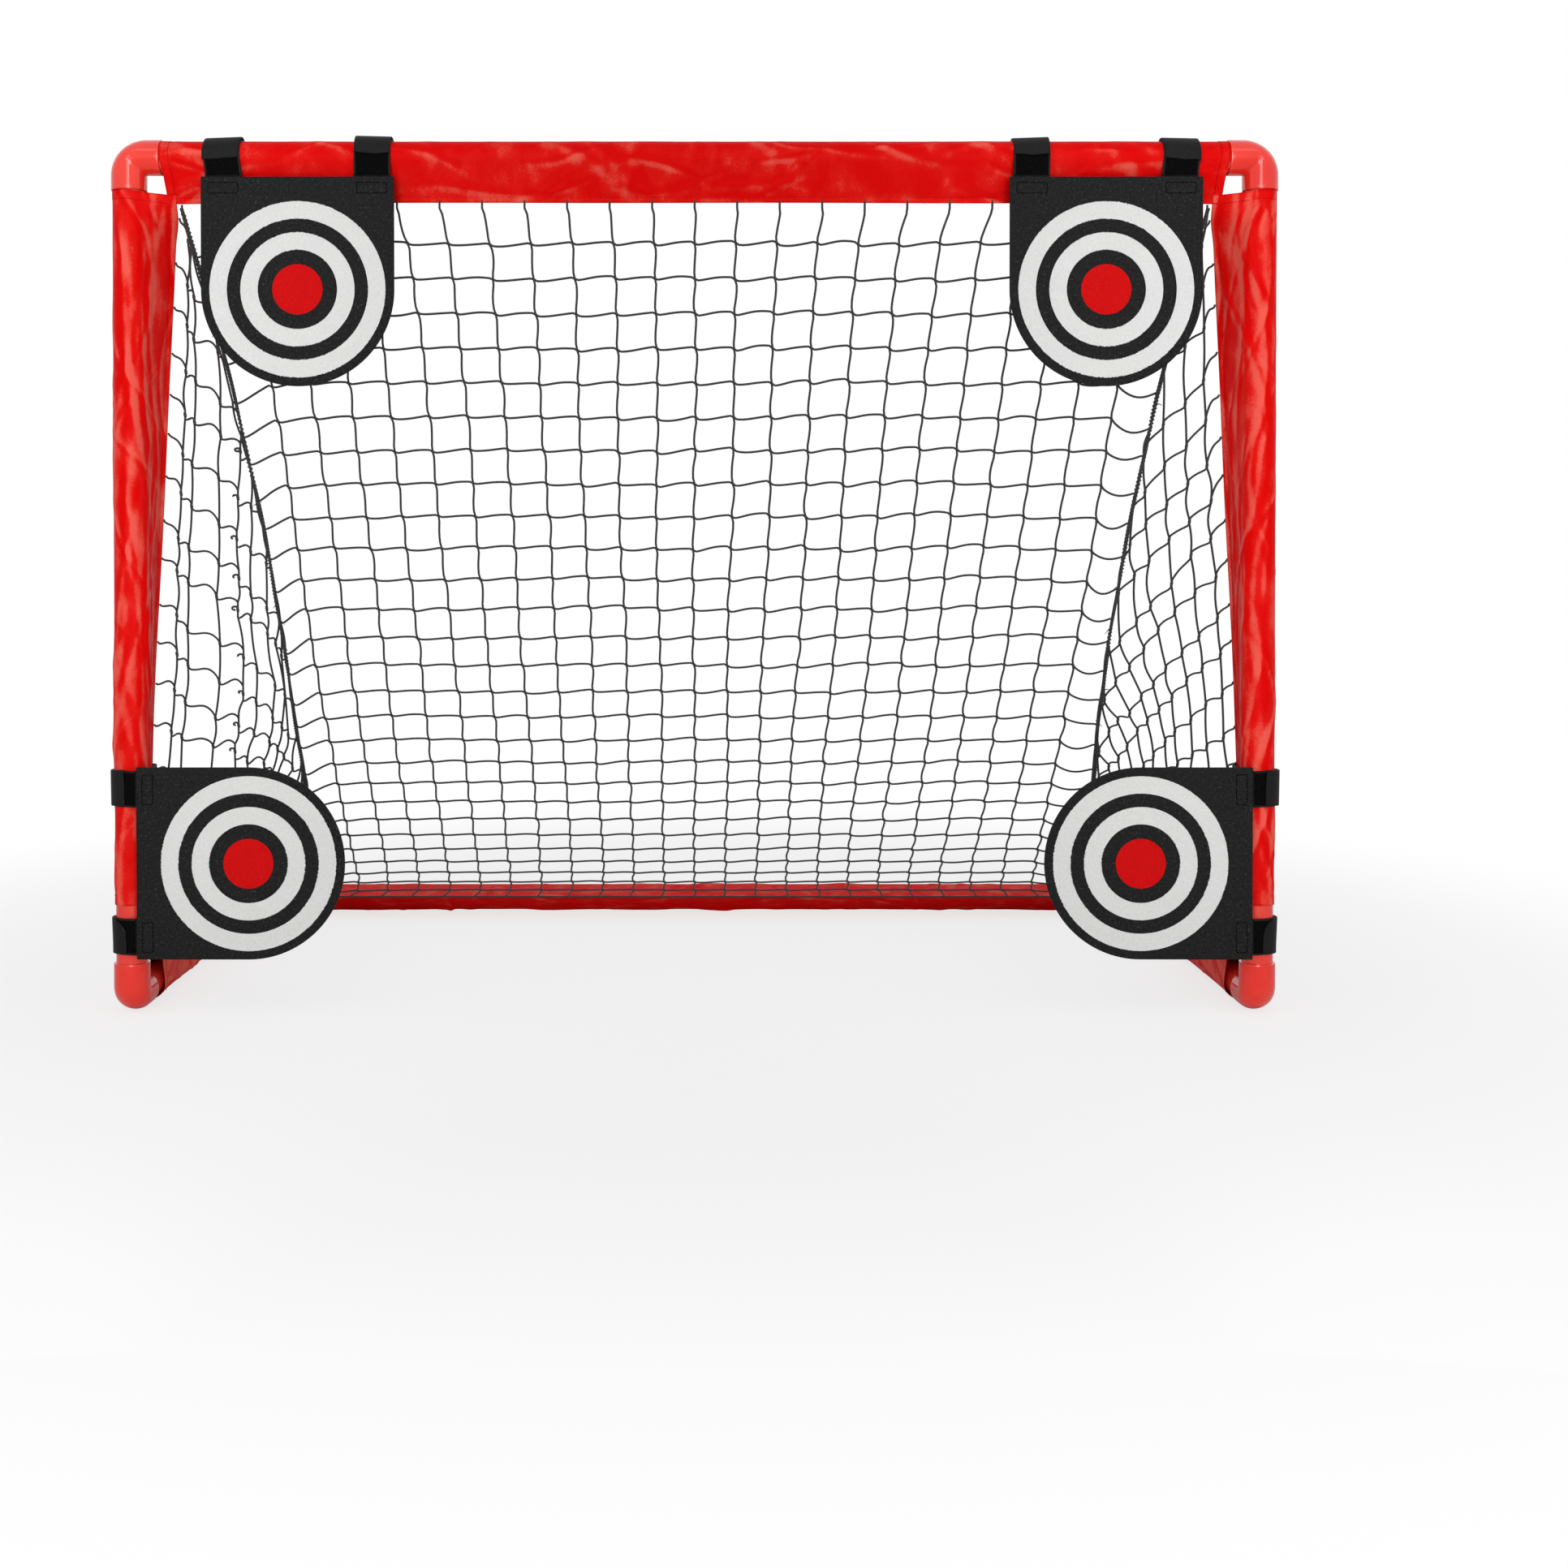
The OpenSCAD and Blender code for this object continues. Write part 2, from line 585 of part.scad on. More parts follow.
module strap_top_left_outer() color(strap_colour) top_strap(top_strap_x[0]);
module strap_top_left_inner() color(strap_colour) top_strap(top_strap_x[1]);
module strap_top_right_inner() color(strap_colour) top_strap(top_strap_x[2]);
module strap_top_right_outer() color(strap_colour) top_strap(top_strap_x[3]);
module strap_base_left_lower() color(strap_colour) base_strap(base_strap_z[0]);
module strap_base_left_upper() color(strap_colour) base_strap(base_strap_z[1]);
module strap_base_right_lower() mirror([1, 0, 0]) strap_base_left_lower();
module strap_base_right_upper() mirror([1, 0, 0]) strap_base_left_upper();

top_bar_left();
top_bar_right();
top_bar_coupler();
post_left();
post_right();
side_rail_left();
side_rail_right();
rear_bar_left();
rear_bar_right();
rear_bar_coupler();
elbow_top_left();
elbow_top_right();
elbow_base_left();
elbow_base_right();
elbow_rear_left();
elbow_rear_right();
sleeve_top();
sleeve_post_left();
sleeve_post_right();
sleeve_side_left();
sleeve_side_right();
sleeve_rear();
net_back();
net_side_left();
net_side_right();
seam_lacing_left();
seam_lacing_right();
target_top_left();
rings_top_left();
centre_top_left();
target_top_right();
rings_top_right();
centre_top_right();
target_base_left();
rings_base_left();
centre_base_left();
target_base_right();
rings_base_right();
centre_base_right();
strap_top_left_outer();
strap_top_left_inner();
strap_top_right_inner();
strap_top_right_outer();
strap_base_left_upper();
strap_base_left_lower();
strap_base_right_upper();
strap_base_right_lower();
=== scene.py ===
import bmesh
import bpy
import numpy as np
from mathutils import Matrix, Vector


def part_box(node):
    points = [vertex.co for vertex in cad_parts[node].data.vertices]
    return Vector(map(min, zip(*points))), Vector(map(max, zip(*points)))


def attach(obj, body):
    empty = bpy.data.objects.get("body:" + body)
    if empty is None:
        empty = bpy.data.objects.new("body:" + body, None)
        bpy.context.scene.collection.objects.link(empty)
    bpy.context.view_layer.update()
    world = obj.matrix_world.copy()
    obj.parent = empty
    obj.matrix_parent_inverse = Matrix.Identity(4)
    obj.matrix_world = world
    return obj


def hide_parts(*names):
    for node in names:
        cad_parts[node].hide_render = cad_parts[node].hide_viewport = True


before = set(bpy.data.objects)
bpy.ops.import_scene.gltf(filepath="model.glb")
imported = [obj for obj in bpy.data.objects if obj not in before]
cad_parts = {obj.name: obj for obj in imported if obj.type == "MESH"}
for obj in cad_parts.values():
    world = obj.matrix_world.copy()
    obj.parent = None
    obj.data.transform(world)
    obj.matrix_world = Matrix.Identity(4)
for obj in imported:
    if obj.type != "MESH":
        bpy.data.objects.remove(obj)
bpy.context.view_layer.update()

tau = 2 * np.pi

# ---- Camera: level with the middle of the goal, square to its mouth, two metres in front of it.

view = bpy.data.cameras.new("camera")
view.sensor_width = 36
view.lens = 42.8
view.shift_x = 0.057
view.shift_y = -0.127
view.clip_end = 60
camera = bpy.data.objects.new("camera", view)
camera.location = (0, -1.954, 0.475)
camera.rotation_euler = (np.radians(90 - 0.75), 0, 0)
bpy.context.scene.collection.objects.link(camera)
bpy.context.scene.camera = camera
bpy.context.scene.view_settings.view_transform = "Standard"


# ---- Room: a pale floor that runs out to white, white walls all round, two tall strip lamps in front
# of the goal's corners, a soft lamp overhead and a wide low one further in front.

def node(material, kind, inputs=None, **settings):
    """Adds a shader node. inputs maps its sockets to values or to other nodes' outputs."""
    made = material.node_tree.nodes.new("ShaderNode" + kind)
    for name, value in settings.items():
        setattr(made, name, value)
    for name, value in (inputs or {}).items():
        if isinstance(value, bpy.types.NodeSocket):
            material.node_tree.links.new(value, made.inputs[name])
        else:
            made.inputs[name].default_value = value
    return made


def sums(material, operation, a, b=0.0, c=0.0):
    """One Math node's output."""
    return node(material, "Math", {0: a, 1: b, 2: c}, operation=operation).outputs[0]


def lamp(name, size, power, place, towards, spread=180):
    """A rectangular soft lamp at place that faces towards and shines spread degrees wide."""
    data = bpy.data.lights.new(name, "AREA")
    data.shape = "RECTANGLE"
    data.size, data.size_y = size
    data.energy = power
    data.spread = np.radians(spread)
    made = bpy.data.objects.new(name, data)
    away = np.array(place, float) - towards
    flat = np.hypot(away[0], away[1])
    made.location = place
    made.rotation_euler = (np.arctan2(flat, away[2]), 0, np.arctan2(away[1], away[0]) + np.pi / 2)
    bpy.context.scene.collection.objects.link(made)


lamp("strip_left", (0.24, 1.5), 1.45, (-0.454, -0.86, 0.62), (-0.60, 0, 0.62), 100)
lamp("strip_right", (0.24, 1.5), 1.45, (0.454, -0.86, 0.62), (0.60, 0, 0.62), 100)
lamp("overhead", (2.6, 0.5), 3.9, (0, -1.25, 2.05), (0, 0.2, 0.4))
lamp("front", (3.0, 1.2), 16, (0, -3.4, 0.9), (0, 0, 0.2))

world = bpy.data.worlds.new("room")
bpy.context.scene.world = world
world.use_nodes = True
rays = node(world, "LightPath")
seen = sums(world, "MAXIMUM", rays.outputs["Is Camera Ray"], rays.outputs["Is Transmission Ray"])
seen = sums(world, "MAXIMUM", seen, rays.outputs["Is Glossy Ray"])
backdrop = world.node_tree.nodes["Background"]
backdrop.inputs["Color"].default_value = (1, 1, 1, 1)
world.node_tree.links.new(sums(world, "MULTIPLY_ADD", seen, 0.5, 0.5), backdrop.inputs["Strength"])

floor_mesh = bpy.data.meshes.new("floor")
floor_mesh.from_pydata([(-9, -4, 0), (9, -4, 0), (9, 9, 0), (-9, 9, 0)], [], [(0, 1, 2, 3)])
floor = bpy.data.objects.new("floor", floor_mesh)
bpy.context.scene.collection.objects.link(floor)
paving = bpy.data.materials.new("pale_floor")
paving.use_nodes = True
floor_mesh.materials.append(paving)
where = node(paving, "TexCoord").outputs["Object"]
spread = node(paving, "VectorMath", {0: where, 1: (0, -0.3, 0)}, operation="ADD").outputs[0]
reach = node(paving, "VectorMath", {0: spread}, operation="LENGTH").outputs["Value"]
rim = node(paving, "MapRange", {"Value": reach, "From Min": 0.7, "From Max": 1.5},
           interpolation_type="SMOOTHSTEP")
paint = paving.node_tree.nodes["Principled BSDF"]
paint.inputs["Base Color"].default_value = (0.9, 0.9, 0.9, 1)
paint.inputs["Roughness"].default_value = 0.9
camera_ray = node(paving, "LightPath").outputs["Is Camera Ray"]
glow = node(paving, "Emission", {"Color": (1, 1, 1, 1), "Strength": 1.0}).outputs[0]
lift = sums(paving, "MULTIPLY", camera_ray, sums(paving, "MULTIPLY_ADD", rim.outputs[0], 0.26, 0.74))
mixed = node(paving, "MixShader", {0: lift, 1: paint.outputs[0], 2: glow}).outputs[0]
paving.node_tree.links.new(mixed, paving.node_tree.nodes["Material Output"].inputs["Surface"])


# ---- Tubes: extruded gloss plastic, 32 mm across, cut square and pushed into the elbows. The two
# long bars are halves on a dark plug. All of them keep their own solids.

def finish(name, colour, roughness, **sockets):
    """A new Principled material with a base colour or grey, a roughness and other socket values."""
    material = bpy.data.materials.new(name)
    material.use_nodes = True
    shader = material.node_tree.nodes["Principled BSDF"]
    shader.inputs["Base Color"].default_value = (*np.broadcast_to(colour, 3), 1)
    shader.inputs["Roughness"].default_value = roughness
    for socket, value in sockets.items():
        shader.inputs[socket.replace("_", " ")].default_value = value
    return material


def into(material, output, socket):
    """Links an output to a socket of the material's Principled shader."""
    material.node_tree.links.new(output, material.node_tree.nodes["Principled BSDF"].inputs[socket])


def ramp(material, factor, *stops):
    """A colour ramp over factor, from stops of (position, colour or grey)."""
    made = node(material, "ValToRGB", {0: factor})
    while len(made.color_ramp.elements) < len(stops):
        made.color_ramp.elements.new(0.5)
    for element, (position, colour) in zip(made.color_ramp.elements, stops):
        element.position = position
        element.color = (*np.broadcast_to(colour, 3), 1)
    return made.outputs[0]


def noise(material, where, scale, detail=2.0, stretch=(1, 1, 1)):
    """Noise over the vector where, scaled per metre, drawn out along an axis of small stretch."""
    placed = node(material, "Mapping", {"Vector": where, "Scale": stretch}).outputs[0]
    made = node(material, "TexNoise", {"Vector": placed, "Scale": scale, "Detail": detail})
    return made.outputs["Fac"]


def relief(material, height, distance, strength=1.0):
    """A bump of that distance in metres on the material's surface."""
    made = node(material, "Bump", {"Height": height, "Distance": distance, "Strength": strength})
    into(material, made.outputs[0], "Normal")


def moulded(name, deep, light, roughness, grain):
    """Gloss plastic: faint clouds between two tones, scuffs in the gloss and fine orange peel."""
    material = finish(name, light, roughness,
                      Specular_IOR_Level=0.1, Coat_Weight=0.9, Coat_Roughness=0.03)
    where = node(material, "TexCoord").outputs["Object"]
    clouds = noise(material, where, 22, 4)
    into(material, ramp(material, clouds, (0.35, deep), (0.65, light)), "Base Color")
    scuffs = noise(material, where, 160, 5, grain)
    rough = node(material, "MapRange", {"Value": scuffs, "From Min": 0.45, "From Max": 0.75,
                                        "To Min": roughness, "To Max": roughness + 0.12})
    into(material, rough.outputs[0], "Roughness")
    relief(material, noise(material, where, 420, 2), 0.00006)
    return material


def dress(material, *names):
    """Gives CAD nodes a material in place of their own."""
    for name in names:
        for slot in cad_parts[name].material_slots:
            slot.material = material


tube_deep = (0.84, 0.036, 0.018)
tube_light = (0.93, 0.062, 0.038)
bars = [f"{bar}_bar_{hand}" for bar in ("top", "rear") for hand in ("left", "right")]
for name, grain, tubes in (("upright", (1, 1, 0.08), ["post_left", "post_right"]),
                           ("rail", (1, 0.08, 1), ["side_rail_left", "side_rail_right"]),
                           ("bar", (0.08, 1, 1), bars)):
    dress(moulded(f"{name}_tube", tube_deep, tube_light, 0.24, grain), *tubes)
dress(moulded("plug_plastic", (0.012, 0.012, 0.014), (0.03, 0.03, 0.032), 0.5, (0.1, 1, 1)),
      "top_bar_coupler", "rear_bar_coupler")

post_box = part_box("post_left")
bar_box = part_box("rear_bar_right")
tube_r = (post_box[1].x - post_box[0].x) / 2
axis_x = -(post_box[0].x + post_box[1].x) / 2
rear_y = (bar_box[0].y + bar_box[1].y) / 2
base_z = (bar_box[0].z + bar_box[1].z) / 2
top_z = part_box("top_bar_left")[1].z - tube_r


# ---- Elbows: moulded gloss fittings with a round back, two socketed arms and, inside the bend, a
# mitre crease that runs out from the corner and fades towards the middle of the cheek.

def unit(vectors, least=0.0):
    """Vectors over their lengths, each with least added to it where a vector may be zero."""
    return vectors / (np.linalg.norm(vectors, axis=-1, keepdims=True) + least)


def stack(*parts):
    """Points whose coordinates are parts, which may be arrays or single values."""
    return np.stack(np.broadcast_arrays(*parts), -1)


def length_along(points):
    """The length along a line of points, from the first one to each."""
    return np.concatenate([[0], np.cumsum(np.linalg.norm(np.diff(points, axis=0), axis=1))])


def sample(at, stops, table):
    """The rows of table, which belong to stops, read at other places with straight runs between."""
    return np.stack([np.interp(at, stops, column) for column in table.T], -1)


def patch(points, wrap=(False, True), uv=None):
    """Vertices, quads and corner UVs of a stack of point grids [piece, i, j]. Each quad runs (i, j),
    (i+1, j), (i+1, j+1), (i, j+1), so it faces di x dj. uv has one more row or column where it
    wraps."""
    count, rows, columns, _ = points.shape
    i, j = np.indices((rows - (not wrap[0]), columns - (not wrap[1]))).reshape(2, -1)
    ring_i, ring_j = np.stack([i, i + 1, i + 1, i]), np.stack([j, j, j + 1, j + 1])
    cell = ((ring_i % rows) * columns + ring_j % columns).T
    quads = cell[None] + (np.arange(count) * rows * columns)[:, None, None]
    if uv is None:
        uv = np.zeros((count, rows + 1, columns + 1, 2))
    uv = np.broadcast_to(uv, (count,) + uv.shape[-3:])
    return points.reshape(-1, 3), quads.reshape(-1, 4), uv[:, ring_i.T, ring_j.T].reshape(-1, 2)


def build(name, patches, material, body="root", sharp=None, painted_sheen=None):
    """One object from patches, with doubled points merged, smooth but for edges over the angle sharp.
    painted_sheen is a value per point that the material reads, a painted highlight on the sleeves'
    folds."""
    starts = np.cumsum([0] + [len(p[0]) for p in patches])
    corners = np.concatenate([p[0] for p in patches])
    quads = np.concatenate([p[1] + start for p, start in zip(patches, starts)])
    mesh = bpy.data.meshes.new(name)
    mesh.vertices.add(len(corners))
    mesh.vertices.foreach_set("co", corners.astype(np.float32).ravel())
    mesh.loops.add(quads.size)
    mesh.loops.foreach_set("vertex_index", quads.astype(np.int32).ravel())
    mesh.polygons.add(len(quads))
    mesh.polygons.foreach_set("loop_start", np.arange(0, quads.size, 4, dtype=np.int32))
    mesh.update(calc_edges=True)
    if painted_sheen is not None:
        values = mesh.attributes.new("painted_sheen", "FLOAT", "POINT").data
        values.foreach_set("value", painted_sheen.astype(np.float32).ravel())
    layer = mesh.uv_layers.new(name="surface")
    layer.data.foreach_set("uv", np.concatenate([p[2] for p in patches]).astype(np.float32).ravel())
    work = bmesh.new()
    work.from_mesh(mesh)
    bmesh.ops.remove_doubles(work, verts=work.verts, dist=2e-7)
    work.to_mesh(mesh)
    work.free()
    mesh.shade_smooth()
    if sharp:
        mesh.set_sharp_from_angle(angle=np.radians(sharp))
    mesh.materials.append(material)
    made = bpy.data.objects.new(name, mesh)
    bpy.context.scene.collection.objects.link(made)
    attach(made, body)
    return made


def sweep(paths, radius, sides=6, across=(0.12, 1, 0.3)):
    """Round cords along paths [cord, point]: rings of radius in the plane across each path's
    direction, with UVs of length along and turns round. radius may be one value for each point. The
    ends are closed to a point."""
    along = unit(np.gradient(paths, axis=1), 1e-12)
    a = unit(np.cross(along, np.asarray(across, float)), 1e-12)
    b = np.cross(along, a)
    turn = np.arange(sides) * tau / sides
    radius = np.broadcast_to(radius, paths.shape[:2])[..., None, None]
    ring = np.cos(turn)[:, None] * a[:, :, None] + np.sin(turn)[:, None] * b[:, :, None]
    points = paths[:, :, None] + radius * ring
    still = np.zeros_like(points[:, :1])
    points = np.concatenate([paths[:, :1, None] + still, points, paths[:, -1:, None] + still], 1)
    steps = np.linalg.norm(np.diff(paths, axis=1), axis=-1)
    start, end = np.zeros((len(paths), 2)), np.sum(steps, 1)[:, None]
    length = np.concatenate([start, np.cumsum(steps, 1), end], 1)
    uv = stack(length[..., None], np.linspace(0, 1, sides + 1))
    return patch(points[:, :, ::-1], uv=uv)


elbow_finish = moulded("elbow_plastic", (0.84, 0.018, 0.009), (0.92, 0.036, 0.018), 0.13, (1, 1, 1))
fitting_r = base_z
fitting_back = fitting_r + 0.020
crease_reach = 0.22
arm_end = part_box("elbow_top_left")[1].x + axis_x


def elbow_skin(corner, arm_a, arm_b):
    """Rings round an elbow from arm a's socket to arm b's. A line of the skin lies o = r cos(phi)
    inside the axis and turns the corner on an arc, of no radius where o > crease_reach r, and growing
    to fitting_back at the back."""
    phi = np.linspace(0, tau, 72, endpoint=False)
    side = np.cross(arm_a, arm_b)
    bore, round_off = tube_r + 5e-5, 0.0007
    lip = np.array([[0.0136, bore], [0.0004, bore], [0, tube_r + 0.0004],
                    [0, fitting_r - round_off], [0.0002, fitting_r - 0.0002], [round_off, fitting_r]])
    o = fitting_r * np.cos(phi)
    behind = (crease_reach * fitting_r - o) / ((1 + crease_reach) * fitting_r)
    radius = fitting_back * np.clip(behind, 0, 1) ** 0.9

    def leg(ahead, across, along, r):
        return along * ahead + (r * np.cos(phi))[:, None] * across + (r * np.sin(phi))[:, None] * side

    def straight(ahead, across):
        share = np.linspace(0.12, 1, 6)[:, None]
        along = arm_end - round_off - share * (arm_end - round_off - (o + radius))
        ends = np.array([leg(ahead, across, arm_end - back, r) for back, r in lip])
        return np.concatenate([ends, leg(ahead, across, along[..., None], fitting_r)])

    turn = np.linspace(0, np.pi / 2, 22)[1:-1, None]
    centre = (o + radius)[None, :, None] * (arm_a + arm_b)
    arc = centre - (radius * np.cos(turn))[..., None] * arm_b
    arc = arc - (radius * np.sin(turn))[..., None] * arm_a
    arc += (fitting_r * np.sin(phi))[None, :, None] * side
    rings = np.concatenate([straight(arm_a, arm_b), arc, straight(arm_b, arm_a)[::-1]])
    return corner + rings


for mirror, hand in ((-1, "left"), (1, "right")):
    inwards = np.array([-mirror, 0, 0])
    up, back = np.array([0, 0, 1]), np.array([0, 1, 0])
    spots = {"top": ((mirror * axis_x, 0, top_z), -up, inwards),
             "base": ((mirror * axis_x, 0, base_z), up, back),
             "rear": ((mirror * axis_x, rear_y, base_z), -back, inwards)}
    for place, (corner, arm_a, arm_b) in spots.items():
        skin = elbow_skin(np.array(corner), arm_a, arm_b)[None]
        shell = build(f"elbow_shell_{place}_{hand}", [patch(skin)], elbow_finish,
                      sharp=28)
        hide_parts(f"elbow_{place}_{hand}")


# ---- Sleeves: red satin polyester, folded round a bar and stitched along the flap's free edge. Each
# has a flat turned hem at both ends. The posts' flaps turn from the mouth at the top to the rear at
# the foot.

cloth_t = 0.0006
sleeve_r = tube_r + 0.0009
flap_reach = 0.050
hem_w = 0.007
end_hem = 0.0095
hem_t, seam_dip = 0.00035, 0.00022
pucker_pitch, pucker_h = 0.0067, 0.00025
tack_rows, tack_pitch, tack_len = 7, 0.0016, 0.009
cloth_step, cloth_sides = 0.0028, 104
end_gap = arm_end + 0.0005
sleeve_head = top_z - end_gap
post_length = sleeve_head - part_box("sleeve_post_left")[0].z
side_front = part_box("sleeve_side_left")[0].y
side_lean = np.radians(22)
rear_rise = np.radians(10)


def sleeve_outline(r, tip):
    """The closed outline of a sleeve as [side, towards the flap's edge] against length round it, from
    the edge and back to it: a flat hem, a straight side that leaves the round part at its tangent,
    and the round part."""
    depth = flap_reach - hem_w
    lift = np.arccos((r - tip) / depth)
    turn = np.linspace(lift, tau - lift, 160)
    round_part = r * stack(np.sin(turn), np.cos(turn))
    edge = [[tip, flap_reach - tip], [tip, depth]]
    back_edge = [[-x, y] for x, y in edge[::-1]]
    points = np.concatenate([[[0, flap_reach]], edge, round_part, back_edge, [[0, flap_reach]]])
    return points, length_along(points)


outer_outline, outer_length = sleeve_outline(sleeve_r, cloth_t)
inner_outline, inner_length = sleeve_outline(sleeve_r - 0.75 * cloth_t, 0.0002)
girth = outer_length[-1]


def creases(a, b, seed, count, length, width, height, lean, swing):
    """Sum of soft, slightly bent folds over the place (a, b), each height exp(-(across/width)^2 -
    (along/length)^2), at random places of the area that a and b cover, and turned about lean by up to
    swing radians."""
    pick = np.random.default_rng(seed)
    total = np.zeros(np.broadcast(a, b).shape)
    for _ in range(count):
        at_a, at_b = pick.uniform(a.min(), a.max()), pick.uniform(b.min(), b.max())
        turn = lean + pick.uniform(-swing, swing)
        along = (a - at_a) * np.cos(turn) + (b - at_b) * np.sin(turn)
        across = (b - at_b) * np.cos(turn) - (a - at_a) * np.sin(turn)
        across = across + along ** 2 * pick.uniform(-4, 4)
        size = pick.uniform(0.5, 1)
        form = np.exp(-(across / (width * size)) ** 2 - (along / (length * size)) ** 2)
        total += size * height * form
    return total


def pleats(a, b, seed, count, width, height, drift, pitch):
    """Sum of long folds along a that zigzag over b: height exp(-|(b - path) / width|^1.6), where path
    and height are drawn anew every pitch or so and run straight between, so that a fold has kinks
    where it turns."""
    pick = np.random.default_rng(seed)
    total = np.zeros(np.broadcast(a, b).shape)
    stops = np.arange(a.min() - pitch, a.max() + pitch, pitch)
    for _ in range(count):
        at = stops + pitch * pick.uniform(-0.35, 0.35, len(stops))
        path = pick.uniform(b.min(), b.max()) + drift * pick.uniform(-1, 1, len(stops))
        level = np.clip(pick.uniform(-0.5, 1.1, len(stops)), 0, 1)
        side = b - np.interp(a, at, path)
        total += height * np.interp(a, at, level) * np.exp(-np.abs(side / width) ** 1.6)
    return total


def step(value, start, end):
    """Smooth step from 0 at start to 1 at end."""
    t = np.clip((value - start) / (end - start), 0, 1)
    return t * t * (3 - 2 * t)


def bell(value, width):
    """exp(-(value / width)^2): a soft rise of 1 round 0."""
    return np.exp(-(value / width) ** 2)


def none(*_):
    """Stands for a movement that a sleeve hasn't."""
    return 0.0


def sleeve_skin(length, place, folds, wave, loose=none, pull=none, slip=none):
    """Returns skin(u, g, depth): the point at length u along the bar and g round the outline, out
    from the cloth's face by depth. place(u) gives the axis point, the side and the flap direction;
    folds(u, g) the height of the folds, which press flat at the hems and where the cloth is taut over
    the bar; wave(u) the flap's lean to its side, growing towards the edge; pull(u) how far the net
    and the stitching draw the edge up; slip(u) how far they draw it along the bar."""

    def skin(u, g, depth=0.0):
        u, g = np.broadcast_arrays(np.asarray(u, float), np.asarray(g, float))
        share = g / girth
        outside = sample(g, outer_length, outer_outline)
        inside = sample(share * inner_length[-1], inner_length, inner_outline)
        face = unit(outside - inside, 1e-12)
        to_edge = np.minimum(g, girth - g)
        to_end = np.minimum(u, length - u)
        free = step(to_edge, hem_w * 0.8, hem_w + 0.014) * step(to_end, end_hem * 0.6, end_hem + 0.012)
        crown = 1 - 0.9 * bell(share - 0.5, 0.12)
        lift = np.maximum(folds(u, g) * free * crown, -0.0001)
        seam = bell(to_end - end_hem, 0.0012) + bell(to_edge - hem_w, 0.0011)
        hem = hem_t * step(-to_end, -end_hem, -end_hem + 0.0012) * (to_edge > 0.001)
        ripple = np.sin(tau * u / pucker_pitch + 3 * np.sin(41 * u))
        pucker = pucker_h * ripple * bell(to_edge - hem_w, 0.006)
        front, back = outside[..., 0] > 0, outside[..., 0] < 0
        lift = lift + hem - seam_dip * seam + pucker * front - pucker * back + loose(u, g)
        across, down = np.moveaxis(outside + face * (lift + depth)[..., None], -1, 0)
        fall = np.clip((down - sleeve_r * 0.4) / flap_reach, 0, 1)
        across = across + wave(u) * fall ** 2
        down = down - pull(u) * fall ** 2
        axis, side, flap = place(u + slip(u) * fall ** 0.5)
        return axis + across[..., None] * side + down[..., None] * flap

    skin.length = length
    skin.folds = folds
    return skin


def sewn(skin, lines, length=0.0025, gap=0.0010, thick=0.00022):
    """Stitches along lines of (u, g) on a sleeve: each leaves the cloth, lies on it and goes in."""
    paths = []
    for line in lines:
        line = np.array(line, float)
        run = length_along(line)
        count = max(1, int(run[-1] / (length + gap)))
        share = np.linspace(0, 1, 5)
        part = (gap / 2 + length * share) / (length + gap)
        at = (np.arange(count)[:, None] + part) / count * run[-1]
        u, g = (np.interp(at, run, line[:, k]) for k in (0, 1))
        paths.append(skin(u, g, thick * (1.1 * np.sin(np.pi * share) ** 0.4 - 0.6)))
    return sweep(np.concatenate(paths), thick, 5)


def sleeve_cloth(name, skin, node_name, painted_light_level=0.0, tacks=()):
    """The cloth of a sleeve as one closed skin of outer face, end hem and inner face, and its
    stitching: the flap's hem, both end hems and a bar tack at each flap corner in tacks."""
    length = skin.length
    u = np.linspace(0, length, int(length / cloth_step))[:, None]
    g = np.linspace(0, girth, cloth_sides)[None, :]
    outer = skin(u, g)
    inner = skin(u, g, -cloth_t * 0.8)
    points = np.concatenate([outer, inner[::-1]])[None, :, :-1]
    flat_u = np.concatenate([u, u[::-1], u[:1]])
    uv = stack(flat_u, g)
    folds = skin.folds(u, g)
    slope = np.gradient(folds, g[0], axis=1)
    along = np.gradient(folds, u[:, 0], axis=0)
    # Painted sheen: a point's colour goes towards the pale satin highlight where the folds slope one
    # way, as if lit there, and darker where they slope the other way.
    # This offset lifts or lowers the whole sleeve's painted sheen, a painted light level for that
    # sleeve.
    painted_sheen = 0.5 + painted_light_level + 0.72 * np.tanh(1.6 * slope + 1.1 * along)
    painted_sheen = np.concatenate([painted_sheen, painted_sheen[::-1]])[None, :, :-1]
    cloth = build(name, [patch(points, (True, True), uv)], sleeve_satin, painted_sheen=painted_sheen)
    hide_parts(node_name)
    lines = [[(end_hem * 0.4, g), (length - end_hem * 0.4, g)] for g in (hem_w, girth - hem_w)]
    lines += [[(u, g) for g in np.linspace(0.001, girth - 0.001, 30)]
              for u in (end_hem, length - end_hem)]
    for end in tacks:
        for tack in range(tack_rows):
            at = end_hem + tack_pitch * tack
            u = at if end == 0 else length - at
            lines += [[(u, girth - 0.0015), (u + 0.0008, girth - 0.0015 - tack_len)]]
    threads = build(f"{name}_stitching", [sewn(skin, lines)], sleeve_thread)


def weave(material, where, scale, distortion, ways):
    """The threads of a plain weave: the higher of two waves that cross, along two axes in ways."""
    waves = [node(material, "TexWave", {"Vector": where, "Scale": scale, "Distortion": distortion},
                  bands_direction=way).outputs["Fac"] for way in ways]
    return sums(material, "MAXIMUM", *waves)


